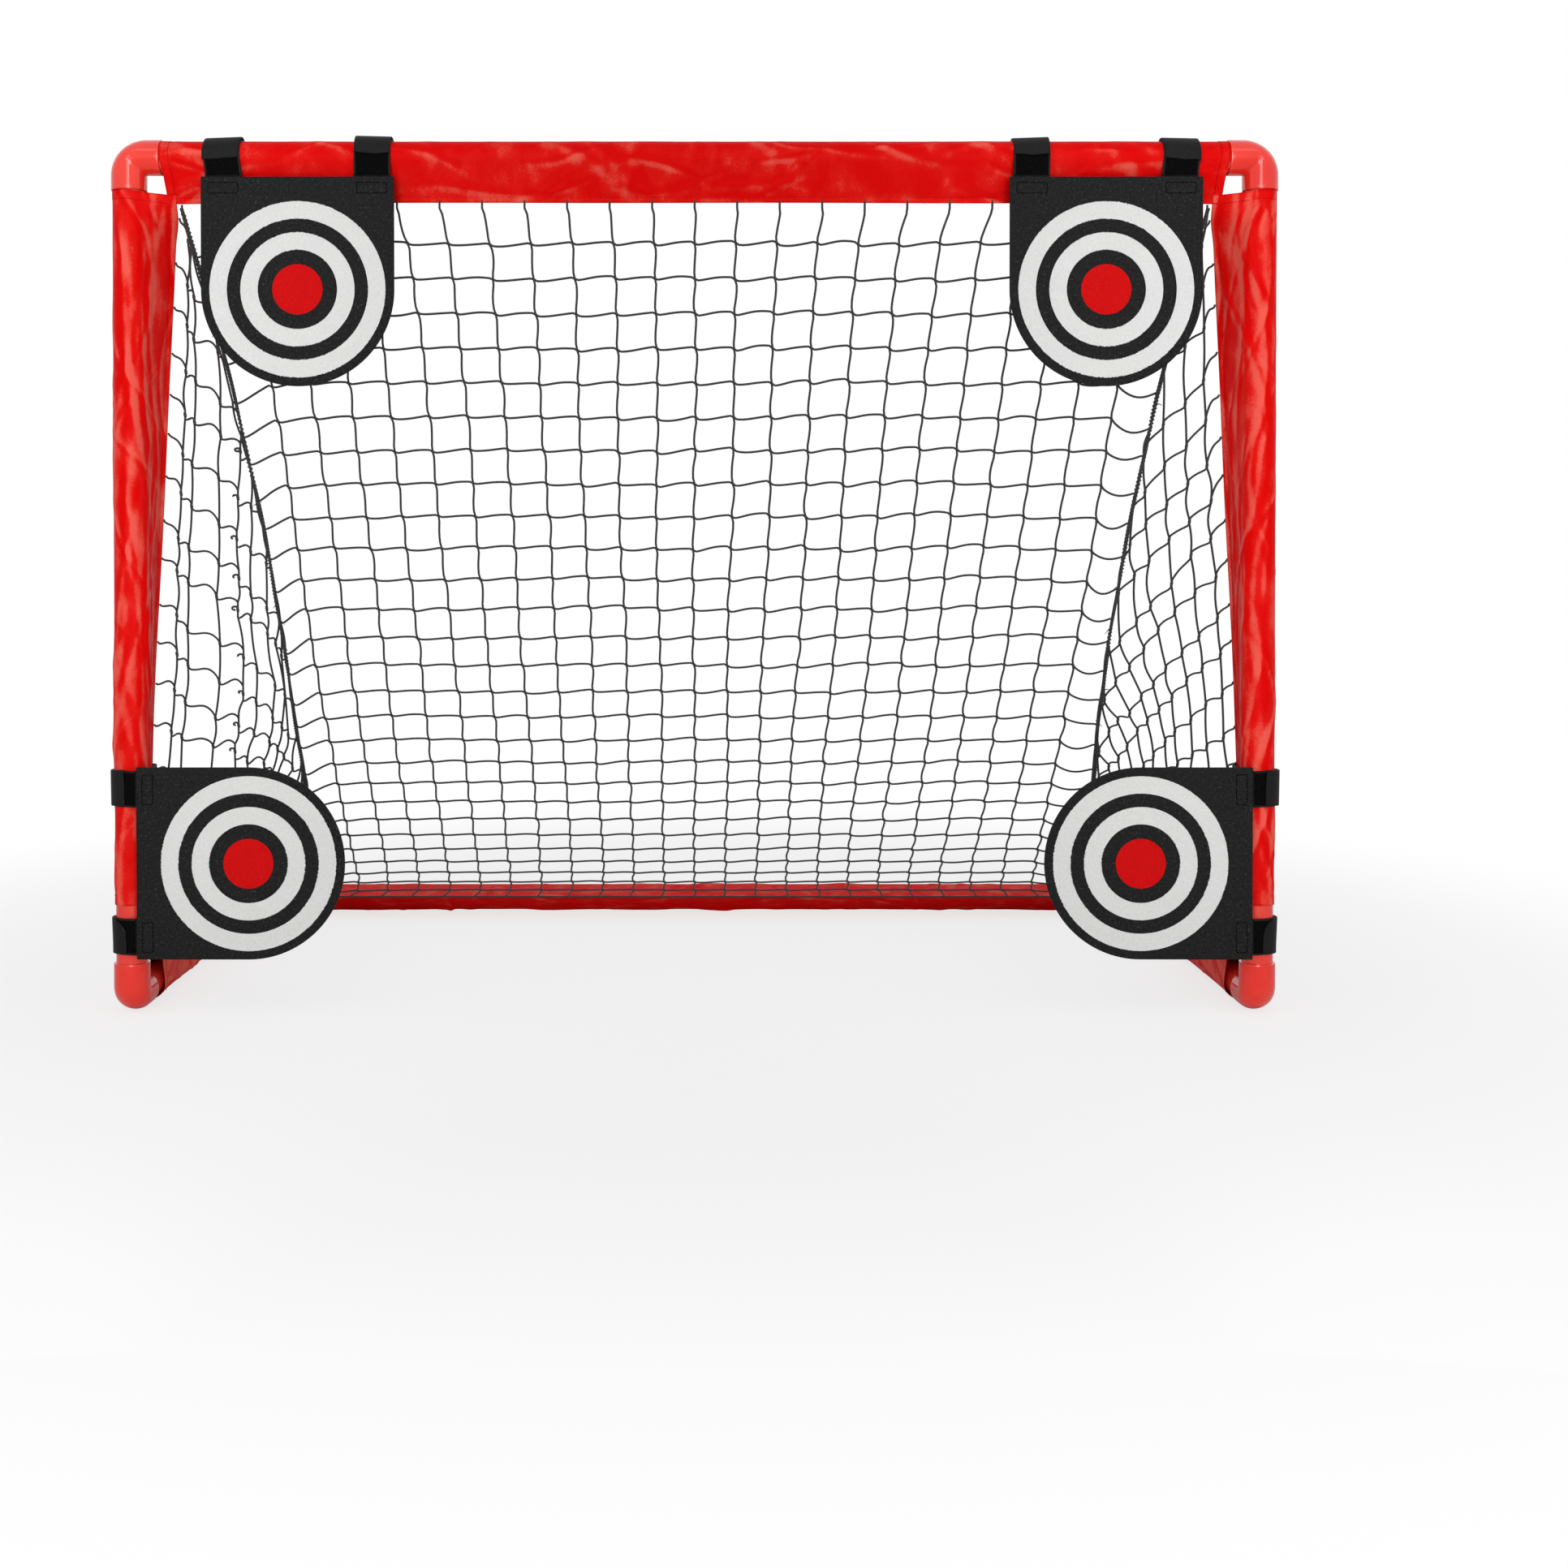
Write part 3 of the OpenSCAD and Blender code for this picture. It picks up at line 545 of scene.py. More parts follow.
def satin(name, deep, light, painted_sheen_colour):
    """Satin polyester: a plain weave in the relief, and a paler painted sheen along one flank of each
    fold, a painted highlight in place of the lamps' reflections in the satin."""
    material = finish(name, light, 0.42, Specular_IOR_Level=0.04)
    where = node(material, "TexCoord").outputs
    cloud = noise(material, where["Object"], 40, 4, (1, 1, 0.6))
    fine = noise(material, where["Object"], 420, 2)
    # This attribute carries the painted highlight and shade along the sleeves' folds.
    painted_flank_sheen = node(material, "Attribute", attribute_name="painted_sheen").outputs["Fac"]
    mottle = sums(material, "MULTIPLY_ADD", fine, 0.3, -0.8)
    mottle = sums(material, "MULTIPLY_ADD", cloud, 1.3, mottle)
    place = sums(material, "ADD", painted_flank_sheen, mottle)
    into(material, ramp(material, place, (0.30, deep), (0.55, light), (0.95, painted_sheen_colour)), "Base Color")
    relief(material, weave(material, where["UV"], 560.0, 0.4, "XY"), 0.00005, 0.6)
    return material


# The third colour of each is the painted satin highlight that the painted sheen reaches.
sleeve_satin = satin("sleeve_satin",
                     (0.76, 0.0012, 0.0010), (0.80, 0.009, 0.006), (0.88, 0.105, 0.075))
sleeve_thread = satin("sleeve_thread",
                      (0.30, 0.0005, 0.0005), (0.42, 0.001, 0.001), (0.55, 0.01, 0.008))
bar_length = 2 * (axis_x - end_gap)


def straight_place(start, along, side, flap):
    """Axis point, side and flap direction along a straight bar, the same all the way."""
    start, along, side, flap = (np.array(v, float) for v in (start, along, side, flap))
    return lambda u: (start + u[..., None] * along, side, flap)


def top_folds(u, g):
    """Short slanting creases, most of them low on the front and the back."""
    return (creases(u, g, 11, 90, 0.045, 0.0050, 0.0019, 0.5, 0.9)
            + creases(u, g, 12, 34, 0.075, 0.010, 0.0026, -0.4, 0.6)
            + pleats(u, g, 13, 5, 0.006, 0.0018, 0.009, 0.05) - 0.0006)


def flap_wave(seed, length, size):
    """A sum of three sines along the bar, as the edge's sideways drift."""
    pick = np.random.default_rng(seed)
    parts = [(pick.uniform(0.5, 1), pick.uniform(1.5, 7), pick.uniform(0, tau)) for _ in range(3)]
    return lambda u: size * sum(a * np.sin(n * np.pi * u / length + p) for a, n, p in parts) / 2


def top_pull(u):
    """The top flap hangs about 3 mm less deep over its middle than at its two tacked corners."""
    middle = np.sin(np.pi * np.clip(u / bar_length, 0, 1)) ** 0.3
    return 0.0012 + 0.0032 * middle + flap_wave(5, bar_length, 0.0005)(u)


top_skin = sleeve_skin(
    bar_length, straight_place((-bar_length / 2, 0, top_z), (1, 0, 0), (0, -1, 0), (0, 0, -1)),
    top_folds, flap_wave(3, bar_length, 0.0008), pull=top_pull,
    slip=lambda u: 0.0055 * (np.exp(-u / 0.04) - np.exp((u - bar_length) / 0.04)))
# The number after the node name is the sleeve's painted light level: the top and rear sleeves are
# painted darker, the posts lighter.
sleeve_cloth("top_sleeve", top_skin, "sleeve_top", -0.10, (0, 1))


def rear_folds(u, g):
    """Long low folds along the rear bar with some short cross creases."""
    return (creases(u, g, 21, 60, 0.07, 0.005, 0.0016, 0.15, 0.5)
            + creases(u, g, 22, 50, 0.03, 0.004, 0.0014, 1.0, 0.6)
            + pleats(u, g, 23, 5, 0.005, 0.0014, 0.006, 0.06) - 0.0004)


rear_place = straight_place((-bar_length / 2, rear_y, base_z), (1, 0, 0),
                            (0, np.sin(rear_rise), np.cos(rear_rise)),
                            (0, -np.cos(rear_rise), np.sin(rear_rise)))
rear_skin = sleeve_skin(bar_length, rear_place, rear_folds, flap_wave(4, bar_length, 0.002))
sleeve_cloth("rear_sleeve", rear_skin, "sleeve_rear", -0.05)


def flap_turn(z):
    """Turn of a post sleeve's flap out of the goal line, in radians: 3 degrees forward at its tacked
    top corner, in front of the top bar's flap, 36 degrees back 60 mm below it, then slowly on to
    86."""
    fall = np.clip((sleeve_head - z) / post_length, 0, 1)
    return np.radians(30 + 92 * fall - 36 * fall ** 2 - 33 * np.exp(-(fall / 0.045) ** 3))


def side_bag(u, g):
    """A side sleeve's front end stands off the rail by up to 5 mm on its inner side."""
    return 0.005 * np.exp(-u / 0.05) * bell(g / girth - 0.27, 0.10)


side_rear = rear_y - end_gap
side_length = side_rear - side_front
for mirror, hand, seed in ((-1, "left", 30), (1, "right", 50)):

    def post_place(u, mirror=mirror):
        z = sleeve_head - u
        turn = flap_turn(z)
        side = stack(-mirror * np.sin(turn), -np.cos(turn), 0)
        return stack(mirror * axis_x, 0, z), side, stack(-mirror * np.cos(turn), np.sin(turn), 0)

    def post_folds(u, g, seed=seed):
        fan = np.exp(-u / 0.12)
        return (creases(u, g, seed, 34, 0.16, 0.0055, 0.0020, 0.06, 0.16)
                + creases(u, g, seed + 1, 34, 0.04, 0.0045, 0.0013, 0.5, 0.9)
                + fan * creases(u, g, seed + 2, 20, 0.06, 0.005, 0.0016, 0.7, 0.4)
                + pleats(u, g, seed + 4, 9, 0.0050, 0.0022, 0.008, 0.055) - 0.0007)

    post_skin = sleeve_skin(post_length, post_place, post_folds,
                            flap_wave(seed + 3, post_length, 0.0018),
                            pull=lambda u: 0.0008 * bell(u - 0.029, 0.016),
                            slip=lambda u: 0.0040 * np.exp(-u / 0.05))
    sleeve_cloth(f"post_sleeve_{hand}", post_skin, f"sleeve_post_{hand}", 0.08, (0,))

    def side_folds(u, g, seed=seed):
        return (creases(u, g, seed + 5, 36, 0.06, 0.005, 0.0018, 0.2, 0.6)
                + creases(u, g, seed + 6, 20, 0.03, 0.004, 0.0014, 1.1, 0.5) - 0.0004)

    side_place = straight_place((mirror * axis_x, side_front, base_z), (0, 1, 0),
                                (-mirror * np.cos(side_lean), 0, -np.sin(side_lean)),
                                (-mirror * np.sin(side_lean), 0, np.cos(side_lean)))
    side_skin = sleeve_skin(side_length, side_place, side_folds,
                            flap_wave(seed + 7, side_length, 0.0015), side_bag)
    # The side sleeves get the highest painted light level, so they are painted lighter than the
    # others.
    sleeve_cloth(f"side_sleeve_{hand}", side_skin, f"sleeve_side_{hand}", 0.28)


# ---- Back net: knotless black twine, 24 meshes wide and 28 down. Each crossing is a short slanting
# plait: a row comes in at its upper left and leaves at its lower right, so its links lie in a slow S.

twine_r = 0.00120
net_cols, net_rows = 24, 28
edge_off = flap_reach + 0.0021
net_head = np.array([0, top_z - edge_off])
net_foot = np.array([rear_y, base_z]) + edge_off * np.array([-np.cos(rear_rise), np.sin(rear_rise)])
net_lean = np.array([0.060, 0.224])
seam_top, seam_foot = axis_x - 0.054, axis_x - 0.086


def net_curve(t):
    """The back net's line in the plane x = 0: a quadratic Bezier curve from flap to flap."""
    t = np.asarray(t, float)[..., None]
    return (1 - t) ** 2 * net_head + 2 * t * (1 - t) * net_lean + t ** 2 * net_foot


curve_t = np.linspace(0, 1, 600)
curve_run = length_along(net_curve(curve_t))


def row_t(row):
    """The curve's parameter at a row of the net, by equal lengths."""
    return np.interp(np.asarray(row, float) / net_rows * curve_run[-1], curve_run, curve_t)


def cut_x(t):
    """Half width that the back net's inner columns share out, drawn in between its two ends."""
    return seam_top + (seam_foot - seam_top) * t - 0.108 * np.sqrt(np.clip(t * (1 - t), 0, 1))


def seam_x(t, mirror):
    """Half width at a corner seam: under cut_x below the top targets, and less on the left."""
    skew = 0.0020 * np.sin(np.pi * t) + 0.0035 * bell(t - 0.66, 0.09)
    return seam_top + (seam_foot - seam_top) * t - (0.080 - 0.04 * t) * 4 * t * (1 - t) + mirror * skew


def slow(pick, value, waves, low, high):
    """A smooth random function of value, about -1 to 1: a mean of sines, low to high per metre."""
    turns = pick.uniform(low, high, waves) * pick.choice([-1, 1], waves)
    starts = pick.uniform(0, tau, waves)
    return np.mean([np.sin(tau * k * value + p) for k, p in zip(turns, starts)], axis=0) * 1.4


def link(start, end, down, drop, bow, share, lean=1.0):
    """A row's link from crossing to crossing at shares of its length: a straight line, plus down
    times drop (1 - 2 s), which is a saw-tooth that is rounded off beside the crossings, plus bow
    times a half sine."""
    s = share[:, None]
    tooth = (1 - 2 * s) * (1 - np.exp(-s / 0.035)) * (1 - np.exp(-(1 - s) / 0.035))
    tooth = tooth + 0.3 * np.sin(tau * s) * (1 - s)
    sag = drop[..., None, None] * tooth + bow[..., None, None] * np.sin(np.pi * s ** lean)
    return start[..., None, :] + (end - start)[..., None, :] * s + down[..., None, :] * sag


def plaits(centre, along_row, down, rise, lean, thick):
    """Closed spindles at the crossings, from upper left to lower right, seven sides round."""
    share = np.linspace(-1, 1, 7)
    path = centre[:, None] + share[:, None] * (rise * down + lean * along_row)[:, None]
    belly = thick * np.sqrt(np.clip(1 - share ** 4, 0.0, 1)) * (1 + 0.12 * np.cos(3 * np.pi * share))
    return sweep(path, belly, 7)


twine_finish = finish("net_twine", 0.008, 0.62, Sheen_Weight=0.15, Sheen_Roughness=0.5)
where = node(twine_finish, "TexCoord").outputs
parts = node(twine_finish, "SeparateXYZ", {0: where["UV"]}).outputs
strands = []
for turns in (2, -2):
    round_it = sums(twine_finish, "MULTIPLY", parts["Y"], turns * tau)
    phase = sums(twine_finish, "MULTIPLY_ADD", parts["X"], 2400.0, round_it)
    strands.append(sums(twine_finish, "SINE", phase))
plait = sums(twine_finish, "MAXIMUM", *strands)
fuzz = noise(twine_finish, where["Object"], 1900, 2)
shade = ramp(twine_finish, sums(twine_finish, "MULTIPLY_ADD", plait, 0.25, fuzz),
             (0.35, 0.004), (0.75, (0.03, 0.029, 0.028)))
into(twine_finish, shade, "Base Color")
relief(twine_finish, plait, 0.0002)

# Crossings: even places on the curve that drift by a few millimetres inside the net's four edges, and
# sag by up to two centimetres at its two seams.
luck = np.random.default_rng(7)
cols = np.arange(net_cols + 1)
rows = np.arange(net_rows + 1)
outermost = (cols == 0) | (cols == net_cols)
seam_in, columns_in = 0.0010, 0.0035
row_place = row_t(rows)
line = net_curve(row_place)
slope = unit(np.gradient(line, axis=0))
down = np.concatenate([np.zeros((net_rows + 1, 1)), slope], 1)[:, None].repeat(net_cols + 1, 1)
spread = (2 * cols / net_cols - 1)[None] * (cut_x(row_place) - columns_in)[:, None]
spread[:, 0] = seam_in - seam_x(row_place, -1)
spread[:, -1] = seam_x(row_place, 1) - seam_in
knot = stack(spread, *line.T[..., None])
inside = np.sin(np.pi * rows / net_rows)[:, None] ** 0.4 * np.sin(np.pi * cols / net_cols)[None] ** 0.3
drift = [slow(luck, knot[..., 0] + 0.7 * knot[..., 2], 5, 0.8, 5) for _ in range(2)]
knot[..., 0] += 0.0022 * drift[0] * inside
knot += down * ((0.0030 * drift[1] + 0.0008 * luck.normal(size=drift[1].shape)) * inside)[..., None]
edge_fall = (np.exp(-cols / 0.6) * 0.016 * luck.uniform(0.6, 1.3, (net_rows + 1, 1))
             + np.exp(-(net_cols - cols) / 0.6) * 0.010 * luck.uniform(0.4, 1.3, (net_rows + 1, 1)))
knot += down * (edge_fall * (rows > 0)[:, None] * (rows < net_rows)[:, None])[..., None]

# Rows: slack links from crossing to crossing, with the deepest bow beside the right seam.
share = np.linspace(0, 1, 13)
x, z = knot[:, :-1, 0], knot[:, :-1, 2]
drop = 0.0019 * luck.uniform(0.75, 1.2, (net_rows + 1, net_cols))
drop *= 1 + 0.35 * slow(luck, x, 3, 1, 4)
bow = 0.0008 * luck.normal(size=drop.shape) + 0.0012 * slow(luck, z + x, 4, 1, 5)
bow += 0.009 * np.exp(-(net_cols - 1 - cols[:-1]) / 0.45) * luck.uniform(0.5, 1.1, drop.shape)
drop[:, 0] += 0.0020
drop[0] = drop[-1] = 0
bow[0] = bow[-1] = 0.0006
links = link(knot[:, :-1], knot[:, 1:], down[:, :-1], drop, bow, share)
row_paths = np.concatenate([links[:, :, :-1].reshape(net_rows + 1, -1, 3), knot[:, -1:]], 1)

# Columns: links that sway sideways. Each column runs up behind the top flap's hem and ends over the
# rear one, and the two outermost are straight.
ahead = np.zeros_like(down)
ahead[..., 0] = 1
x, z = knot[:-1, :, 0], knot[:-1, :, 2]
swing = 0.0011 * luck.uniform(0.7, 1.2, (net_rows, net_cols + 1)) * ~outermost
sway = 0.0007 * luck.normal(size=swing.shape) + 0.0012 * slow(luck, z - x, 4, 1, 6)
falls = link(knot[:-1], knot[1:], ahead[:-1], swing, sway, share[::2])
chains = falls[:, :, :-1].transpose(1, 0, 2, 3).reshape(net_cols + 1, -1, 3)
into_hem = knot[0] + (0.0082 - 0.0050 * outermost)[:, None] * [0, 0, 1]
over_hem = knot[-1] + [0, 0.003, -0.0005]
column_paths = np.concatenate([into_hem[:, None], chains, knot[-1][:, None], over_hem[:, None]], 1)
middle = (slice(1, -1), slice(1, -1))
crossings = plaits(*(grid[middle].reshape(-1, 3) for grid in (knot, ahead, down)),
                   0.0021, 0.0009, 0.0016)
rows_piece = build("net_back_rows", [sweep(row_paths[1:], twine_r)], twine_finish)
build("net_back_columns", [sweep(column_paths, twine_r)], twine_finish)
build("net_back_crossings", [crossings], twine_finish)
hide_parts("net_back")


# ---- Side nets: cut as triangles, 11 meshes of 45 mm deep at the foot. Their rows leave the post
# sleeve's flap and fall to the corner seam. The left one hangs slack and gathered, with curls of
# spare twine on its fourth column.

side_meshes = 11.5
side_mesh_w = 0.0455
seam_room, head_rise = 0.007, 0.042
side_row_heights = np.arange(0.8325, 0.078, -0.0445)
rail_edge = np.array([edge_off * np.sin(side_lean) - axis_x, 0,
                      base_z + edge_off * np.cos(side_lean)])


def seam_point(row, mirror):
    """A corner seam at a row of the back net, drawn as if it were the left one."""
    t = row_t(row)
    return np.concatenate([-seam_x(t, mirror)[..., None], net_curve(t)], -1)


def seam_at(z, mirror):
    """A corner seam at a height."""
    row = np.linspace(0, net_rows, 400)
    return seam_point(np.interp(-z, -seam_point(row, mirror)[:, 2], row), mirror)


def flap_point(z):
    """The edge of the left post sleeve's flap at a height, where a row of the side net starts."""
    turn, off = flap_turn(z), edge_off - 0.0015
    return stack(off * np.cos(turn) - axis_x, off * np.sin(turn), z)


def rail_knot(column):
    """The lowest row of the side net, on the side sleeve's flap."""
    y = side_front + 0.004 + (side_rear - 0.012 - side_front) * np.asarray(column, float) / side_meshes
    return rail_edge + stack(0, y, 0)


def side_net(mirror, seed, widths, halves, stretch, fall_by, droop):
    """Cords of one side net and the middles of its crossings. widths are its meshes as they hang,
    from the flap to the seam, stretch their factor by height and fall_by the fall of a row by its
    height on the flap. A row comes in halves above each crossing and leaves as far below it, and
    droop scales the hump of its links."""
    pick = np.random.default_rng(seed)
    reach = np.cumsum(widths)
    paths, centres, table = [], [], {}
    share = np.linspace(0, 1, 13)
    half = np.array(halves)[:, None] * [0, 0, 1]
    for head in side_row_heights:
        flap = flap_point(head + 0.003 * pick.normal())
        seam = seam_at(head - np.interp(head, *fall_by), mirror)
        length = np.linalg.norm(seam - flap)
        low = step(-head, -0.26, -0.08)
        even = low * side_mesh_w * np.arange(1, len(reach) + 1)
        place = (1 - low) * reach * np.interp(head, *stretch) + even
        place = place[place < length - seam_room]
        stops = np.concatenate([[0], place / length, [1]])
        fall = 0.25 * stops + 0.75 * np.linspace(0, 1, len(stops))
        at = flap + (seam - flap) * stops[:, None]
        at[:, 2] = flap[2] + (seam[2] - flap[2]) * fall
        at[1:-1, 2] -= 0.008 * step(head, 0.50, 0.62) * (1 - fall[1:-1])
        at[1:-1] += [0.0009, 0.0012, 0.0022] * pick.normal(size=(len(place), 3))
        for column, point in enumerate(at[1:-1], 1):
            table.setdefault(column, []).append(point)
        start, end = at[:-1].copy(), at[1:].copy()
        start[1:] -= half[:len(place)]
        end[:-1] += half[:len(place)]
        chord = np.linalg.norm(end - start, axis=1)
        hump = -droop * (0.0010 + 0.0048 * bell(chord - 0.038, 0.020))
        hump *= pick.uniform(0.6, 1.3, len(chord))
        hump[0] -= 0.0050 * (mirror > 0) * step(head, 0.48, 0.66)
        drop = 0.0013 * pick.uniform(0.5, 1.4, len(chord))
        down = np.tile([0.0, 0, -1], (len(chord), 1))
        bent = link(start, end, down, drop, hump, share, 1.2 + 0.4 * droop)
        out = unit(np.cross(seam - flap, [0, 0, 1.0]))
        bulge = 0.12 * np.clip(0.040 - chord, 0, 0.03) * pick.uniform(-1, 1, len(chord))
        bent += out * bulge[:, None, None] * np.sin(np.pi * share)[:, None]
        paths.append(bent.reshape(-1, 3))
        centres.append(at[1:-1])
    for column, points in table.items():
        ends = [p for point in points for p in (point + half[column - 1], point - half[column - 1])]
        chain = np.array([seam_at(points[0][2] + head_rise, mirror), *ends, rail_knot(column)])
        at = np.linspace(0, len(chain) - 1, 6 * (len(chain) - 1) + 1)
        path = sample(at, np.arange(len(chain)), chain)
        sway = pick.normal(size=len(chain))[at.astype(int)]
        path[:, 0] += (0.0011 * sway + 0.0006) * np.sin(np.pi * (at % 1)) * (np.floor(at) % 2 == 0)
        paths.append(path)
    rail = rail_knot(np.linspace(0, side_meshes, 80))
    rail[:, 2] += 0.0006 * np.sin(np.arange(80) * 1.7)
    paths.append(np.concatenate([rail, seam_point(np.linspace(net_rows - 0.2, net_rows, 3), mirror)]))
    for point in (table[4] if mirror < 0 else []):
        turn = np.linspace(0, pick.uniform(3.4, 5.6), 12)
        loop = stack(0.0026 * np.cos(turn), 0, 0.0015 * np.sin(turn))
        paths.append(point + [-0.0030, 0, 0.0015] + loop * pick.uniform(0.7, 1.3))
    flip = np.array([-mirror, 1, 1])
    return [p * flip for p in paths], np.concatenate(centres) * flip


left_widths = [0.028, 0.019, 0.052, 0.039, 0.025, 0.030, 0.016, 0.011, 0.016, 0.014, 0.014]
right_widths = [0.024, 0.038, 0.038, 0.035, 0.030, 0.028, 0.027, 0.024, 0.024, 0.024, 0.024]
left_halves = [0.0042, 0.0018, 0.0014, 0.0080, 0.0022, 0.0034, 0.0018, 0.0020, 0.0024, 0.0020, 0.0020]
left_stretch = ([0.14, 0.30, 0.38, 0.42, 0.47, 0.52, 0.65, 0.80],
                [1.25, 1.02, 1.00, 0.95, 0.83, 0.77, 0.70, 0.78])
left_fall = ([0.06, 0.155, 0.25, 0.38, 0.47, 0.57, 0.65, 0.74, 0.83],
             [0.031, 0.070, 0.108, 0.128, 0.118, 0.102, 0.075, 0.062, 0.045])
right_stretch = ([0.14, 0.30, 0.39, 0.47, 0.55, 0.80], [1.00, 0.88, 0.91, 0.96, 0.95, 0.92])
right_fall = ([0.06, 0.17, 0.26, 0.34, 0.43, 0.52, 0.65, 0.74, 0.83],
              [0.031, 0.090, 0.140, 0.180, 0.193, 0.157, 0.126, 0.078, 0.050])
for mirror, hand, widths, halves, stretch, fall_by, droop in (
        (-1, "left", left_widths, left_halves, left_stretch, left_fall, 1.1),
        (1, "right", right_widths, [0.0024] * 11, right_stretch, right_fall, 0.25)):
    cords, centres = side_net(mirror, 70 + mirror, widths, halves, stretch, fall_by, droop)
    pieces = [sweep(p[None], twine_r) for p in cords]
    level = np.tile([-mirror * 0.7, 0.7, -0.2], (len(centres), 1))
    fall = np.tile([0, 0, -1.0], (len(centres), 1))
    pieces.append(plaits(centres, level, fall, 0.0034, 0.0006, 0.0017))
    side_piece = build(f"side_net_{hand}", pieces, twine_finish)
    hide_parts(f"net_side_{hand}")


# ---- Corner seams: the edges of the back net and of a side net, whipped together with a doubled
# twine. The whipping runs in uneven stretches, and its cut ends stand out as short tufts.

lacing_r, turns_per_row, tuft_count = 0.00095, 8.6, 22


def seam_lacing(mirror, seed):
    """Patches of one seam: two edge cords side by side, a coil round them of wandering radius and
    pitch, and tufts."""
    pick = np.random.default_rng(seed)
    flip = np.array([-mirror, 1, 1])
    row = np.linspace(0, net_rows, 400)
    spine = seam_point(row, mirror)
    spine[:, 0] += 0.0012 * slow(pick, row / 20, 5, 1, 6)
    along = unit(np.gradient(spine, axis=0))
    a = unit(np.cross(along, [1.0, 0, 0]))
    b = np.cross(along, a)
    twist = 2.2 * np.sin(row * 0.9) + row * 0.5
    out = np.cos(twist)[:, None] * b + np.sin(twist)[:, None] * a
    pair = [spine + side * 0.0008 * out for side in (1, -1)]
    coil_row = np.linspace(0.15, net_rows - 0.1, 2600)
    mid, a_mid, b_mid = (sample(coil_row, row, values) for values in (spine, a, b))
    loose = np.maximum(0.0014 + 0.0009 * slow(pick, coil_row / 20, 6, 1, 9), 0.0008)
    turn = tau * (turns_per_row * coil_row + 1.2 * slow(pick, coil_row / 10, 4, 0.5, 3))
    coil = mid + (loose * np.cos(turn))[:, None] * a_mid + (loose * np.sin(turn))[:, None] * b_mid
    patches = [sweep((p * flip)[None], twine_r) for p in pair]
    patches.append(sweep((coil * flip)[None], lacing_r, 5))
    at = seam_point(pick.uniform(1, net_rows - 2, tuft_count), mirror)
    aim = unit(pick.normal(size=(tuft_count, 3)) * [1, 0.7, 0.6] + [0, 0, -0.5])
    reach = np.linspace(0, 1, 5)[None, :, None] * pick.uniform(0.004, 0.010, (tuft_count, 1, 1))
    hair = at[:, None] + aim[:, None] * reach + np.array([0, 0, -1]) * reach ** 2 * 30
    patches.append(sweep(hair * flip, 0.0006 * np.array([1, 1, 0.9, 0.7, 0.3]), 5))
    return patches


for mirror, hand in ((-1, "left"), (1, "right")):
    seam = build(f"corner_lacing_{hand}", seam_lacing(mirror, 90 + mirror), twine_finish)
    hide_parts(f"seam_lacing_{hand}")


# ---- Targets: stiff panels of black woven polyester, square at the strap edge and round at the far
# end, with rolled cut edges. Two strap ends are sewn behind each, and their stitched rectangles show
# on the front.

panel_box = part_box("target_top_left")
panel_w = panel_box[1].x - panel_box[0].x
panel_len = panel_box[1].z - panel_box[0].z
panel_t = 0.0024
panel_y = panel_box[0].y + panel_t / 2
ring_off = panel_len - panel_w / 2
strap_w, strap_t, strap_off = 0.038, 0.0014, 0.077
ring_w, ring_radii, disc_r = 0.018, (0.041, 0.073), 0.026
ink_t = 0.00025
box_half_w, box_half_h, box_middle = 0.0155, 0.0055, -0.0116


def panel_wave(x, z):
    """How far a panel stands out of its plane: two slow waves and a slight curl of the round end."""
    waves = 0.0005 * np.sin(23 * x + 9) * np.sin(17 * z + 1)
    return waves + 0.0006 * step(-z, 0.15, panel_len) * np.cos(12 * x)


def panel_outline(corner=0.0007):
    """The outline from the upper left corner down, round the end and back, corners rounded."""
    half = panel_w / 2
    sides = np.linspace(-corner, -ring_off, 12)[:-1]
    turn = np.linspace(np.pi, tau, 90)
    bend = np.linspace(0, np.pi / 2, 4)[1:]
    arc = stack(half * np.cos(turn), half * np.sin(turn) - ring_off)
    upper_right = stack(half - corner * (1 - np.cos(bend)), corner * (np.sin(bend) - 1))
    top = stack(np.linspace(half - corner, -half + corner, 24)[1:], 0)
    upper_left = upper_right[::-1][1:] * [-1, 1]
    left, right = stack(-half, sides), stack(half, sides[::-1])
    return np.concatenate([left, arc, right, upper_right, top, upper_left])


def panel_skin():
    """Rings of the outline, drawn in to a middle point: front, rolled edge and back."""
    line = panel_outline()
    middle = np.array([0, -ring_off])
    reach = np.linalg.norm(line - middle, axis=1)[None]
    roll, turn = 0.0006, np.linspace(0, np.pi, 9)[:, None]
    inset = roll * (1 - np.sin(turn))
    front = np.linspace(0, 0.97, 14)[:, None] + 0 * reach
    rounding = roll * (1 - np.abs(np.cos(turn)))
    rim_depth = np.where(turn < np.pi / 2, -1, 1) * (panel_t / 2 - rounding)
    face_depth = np.full((len(front), 1), panel_t / 2)
    share = np.concatenate([front, 1 - inset / reach, front[::-1]])
    depth = np.concatenate([-face_depth, rim_depth, face_depth])
    flat = middle + share[..., None] * (line - middle)
    x, z = np.moveaxis(flat, 2, 0)
    return stack(x, panel_wave(x, z) + depth, z)


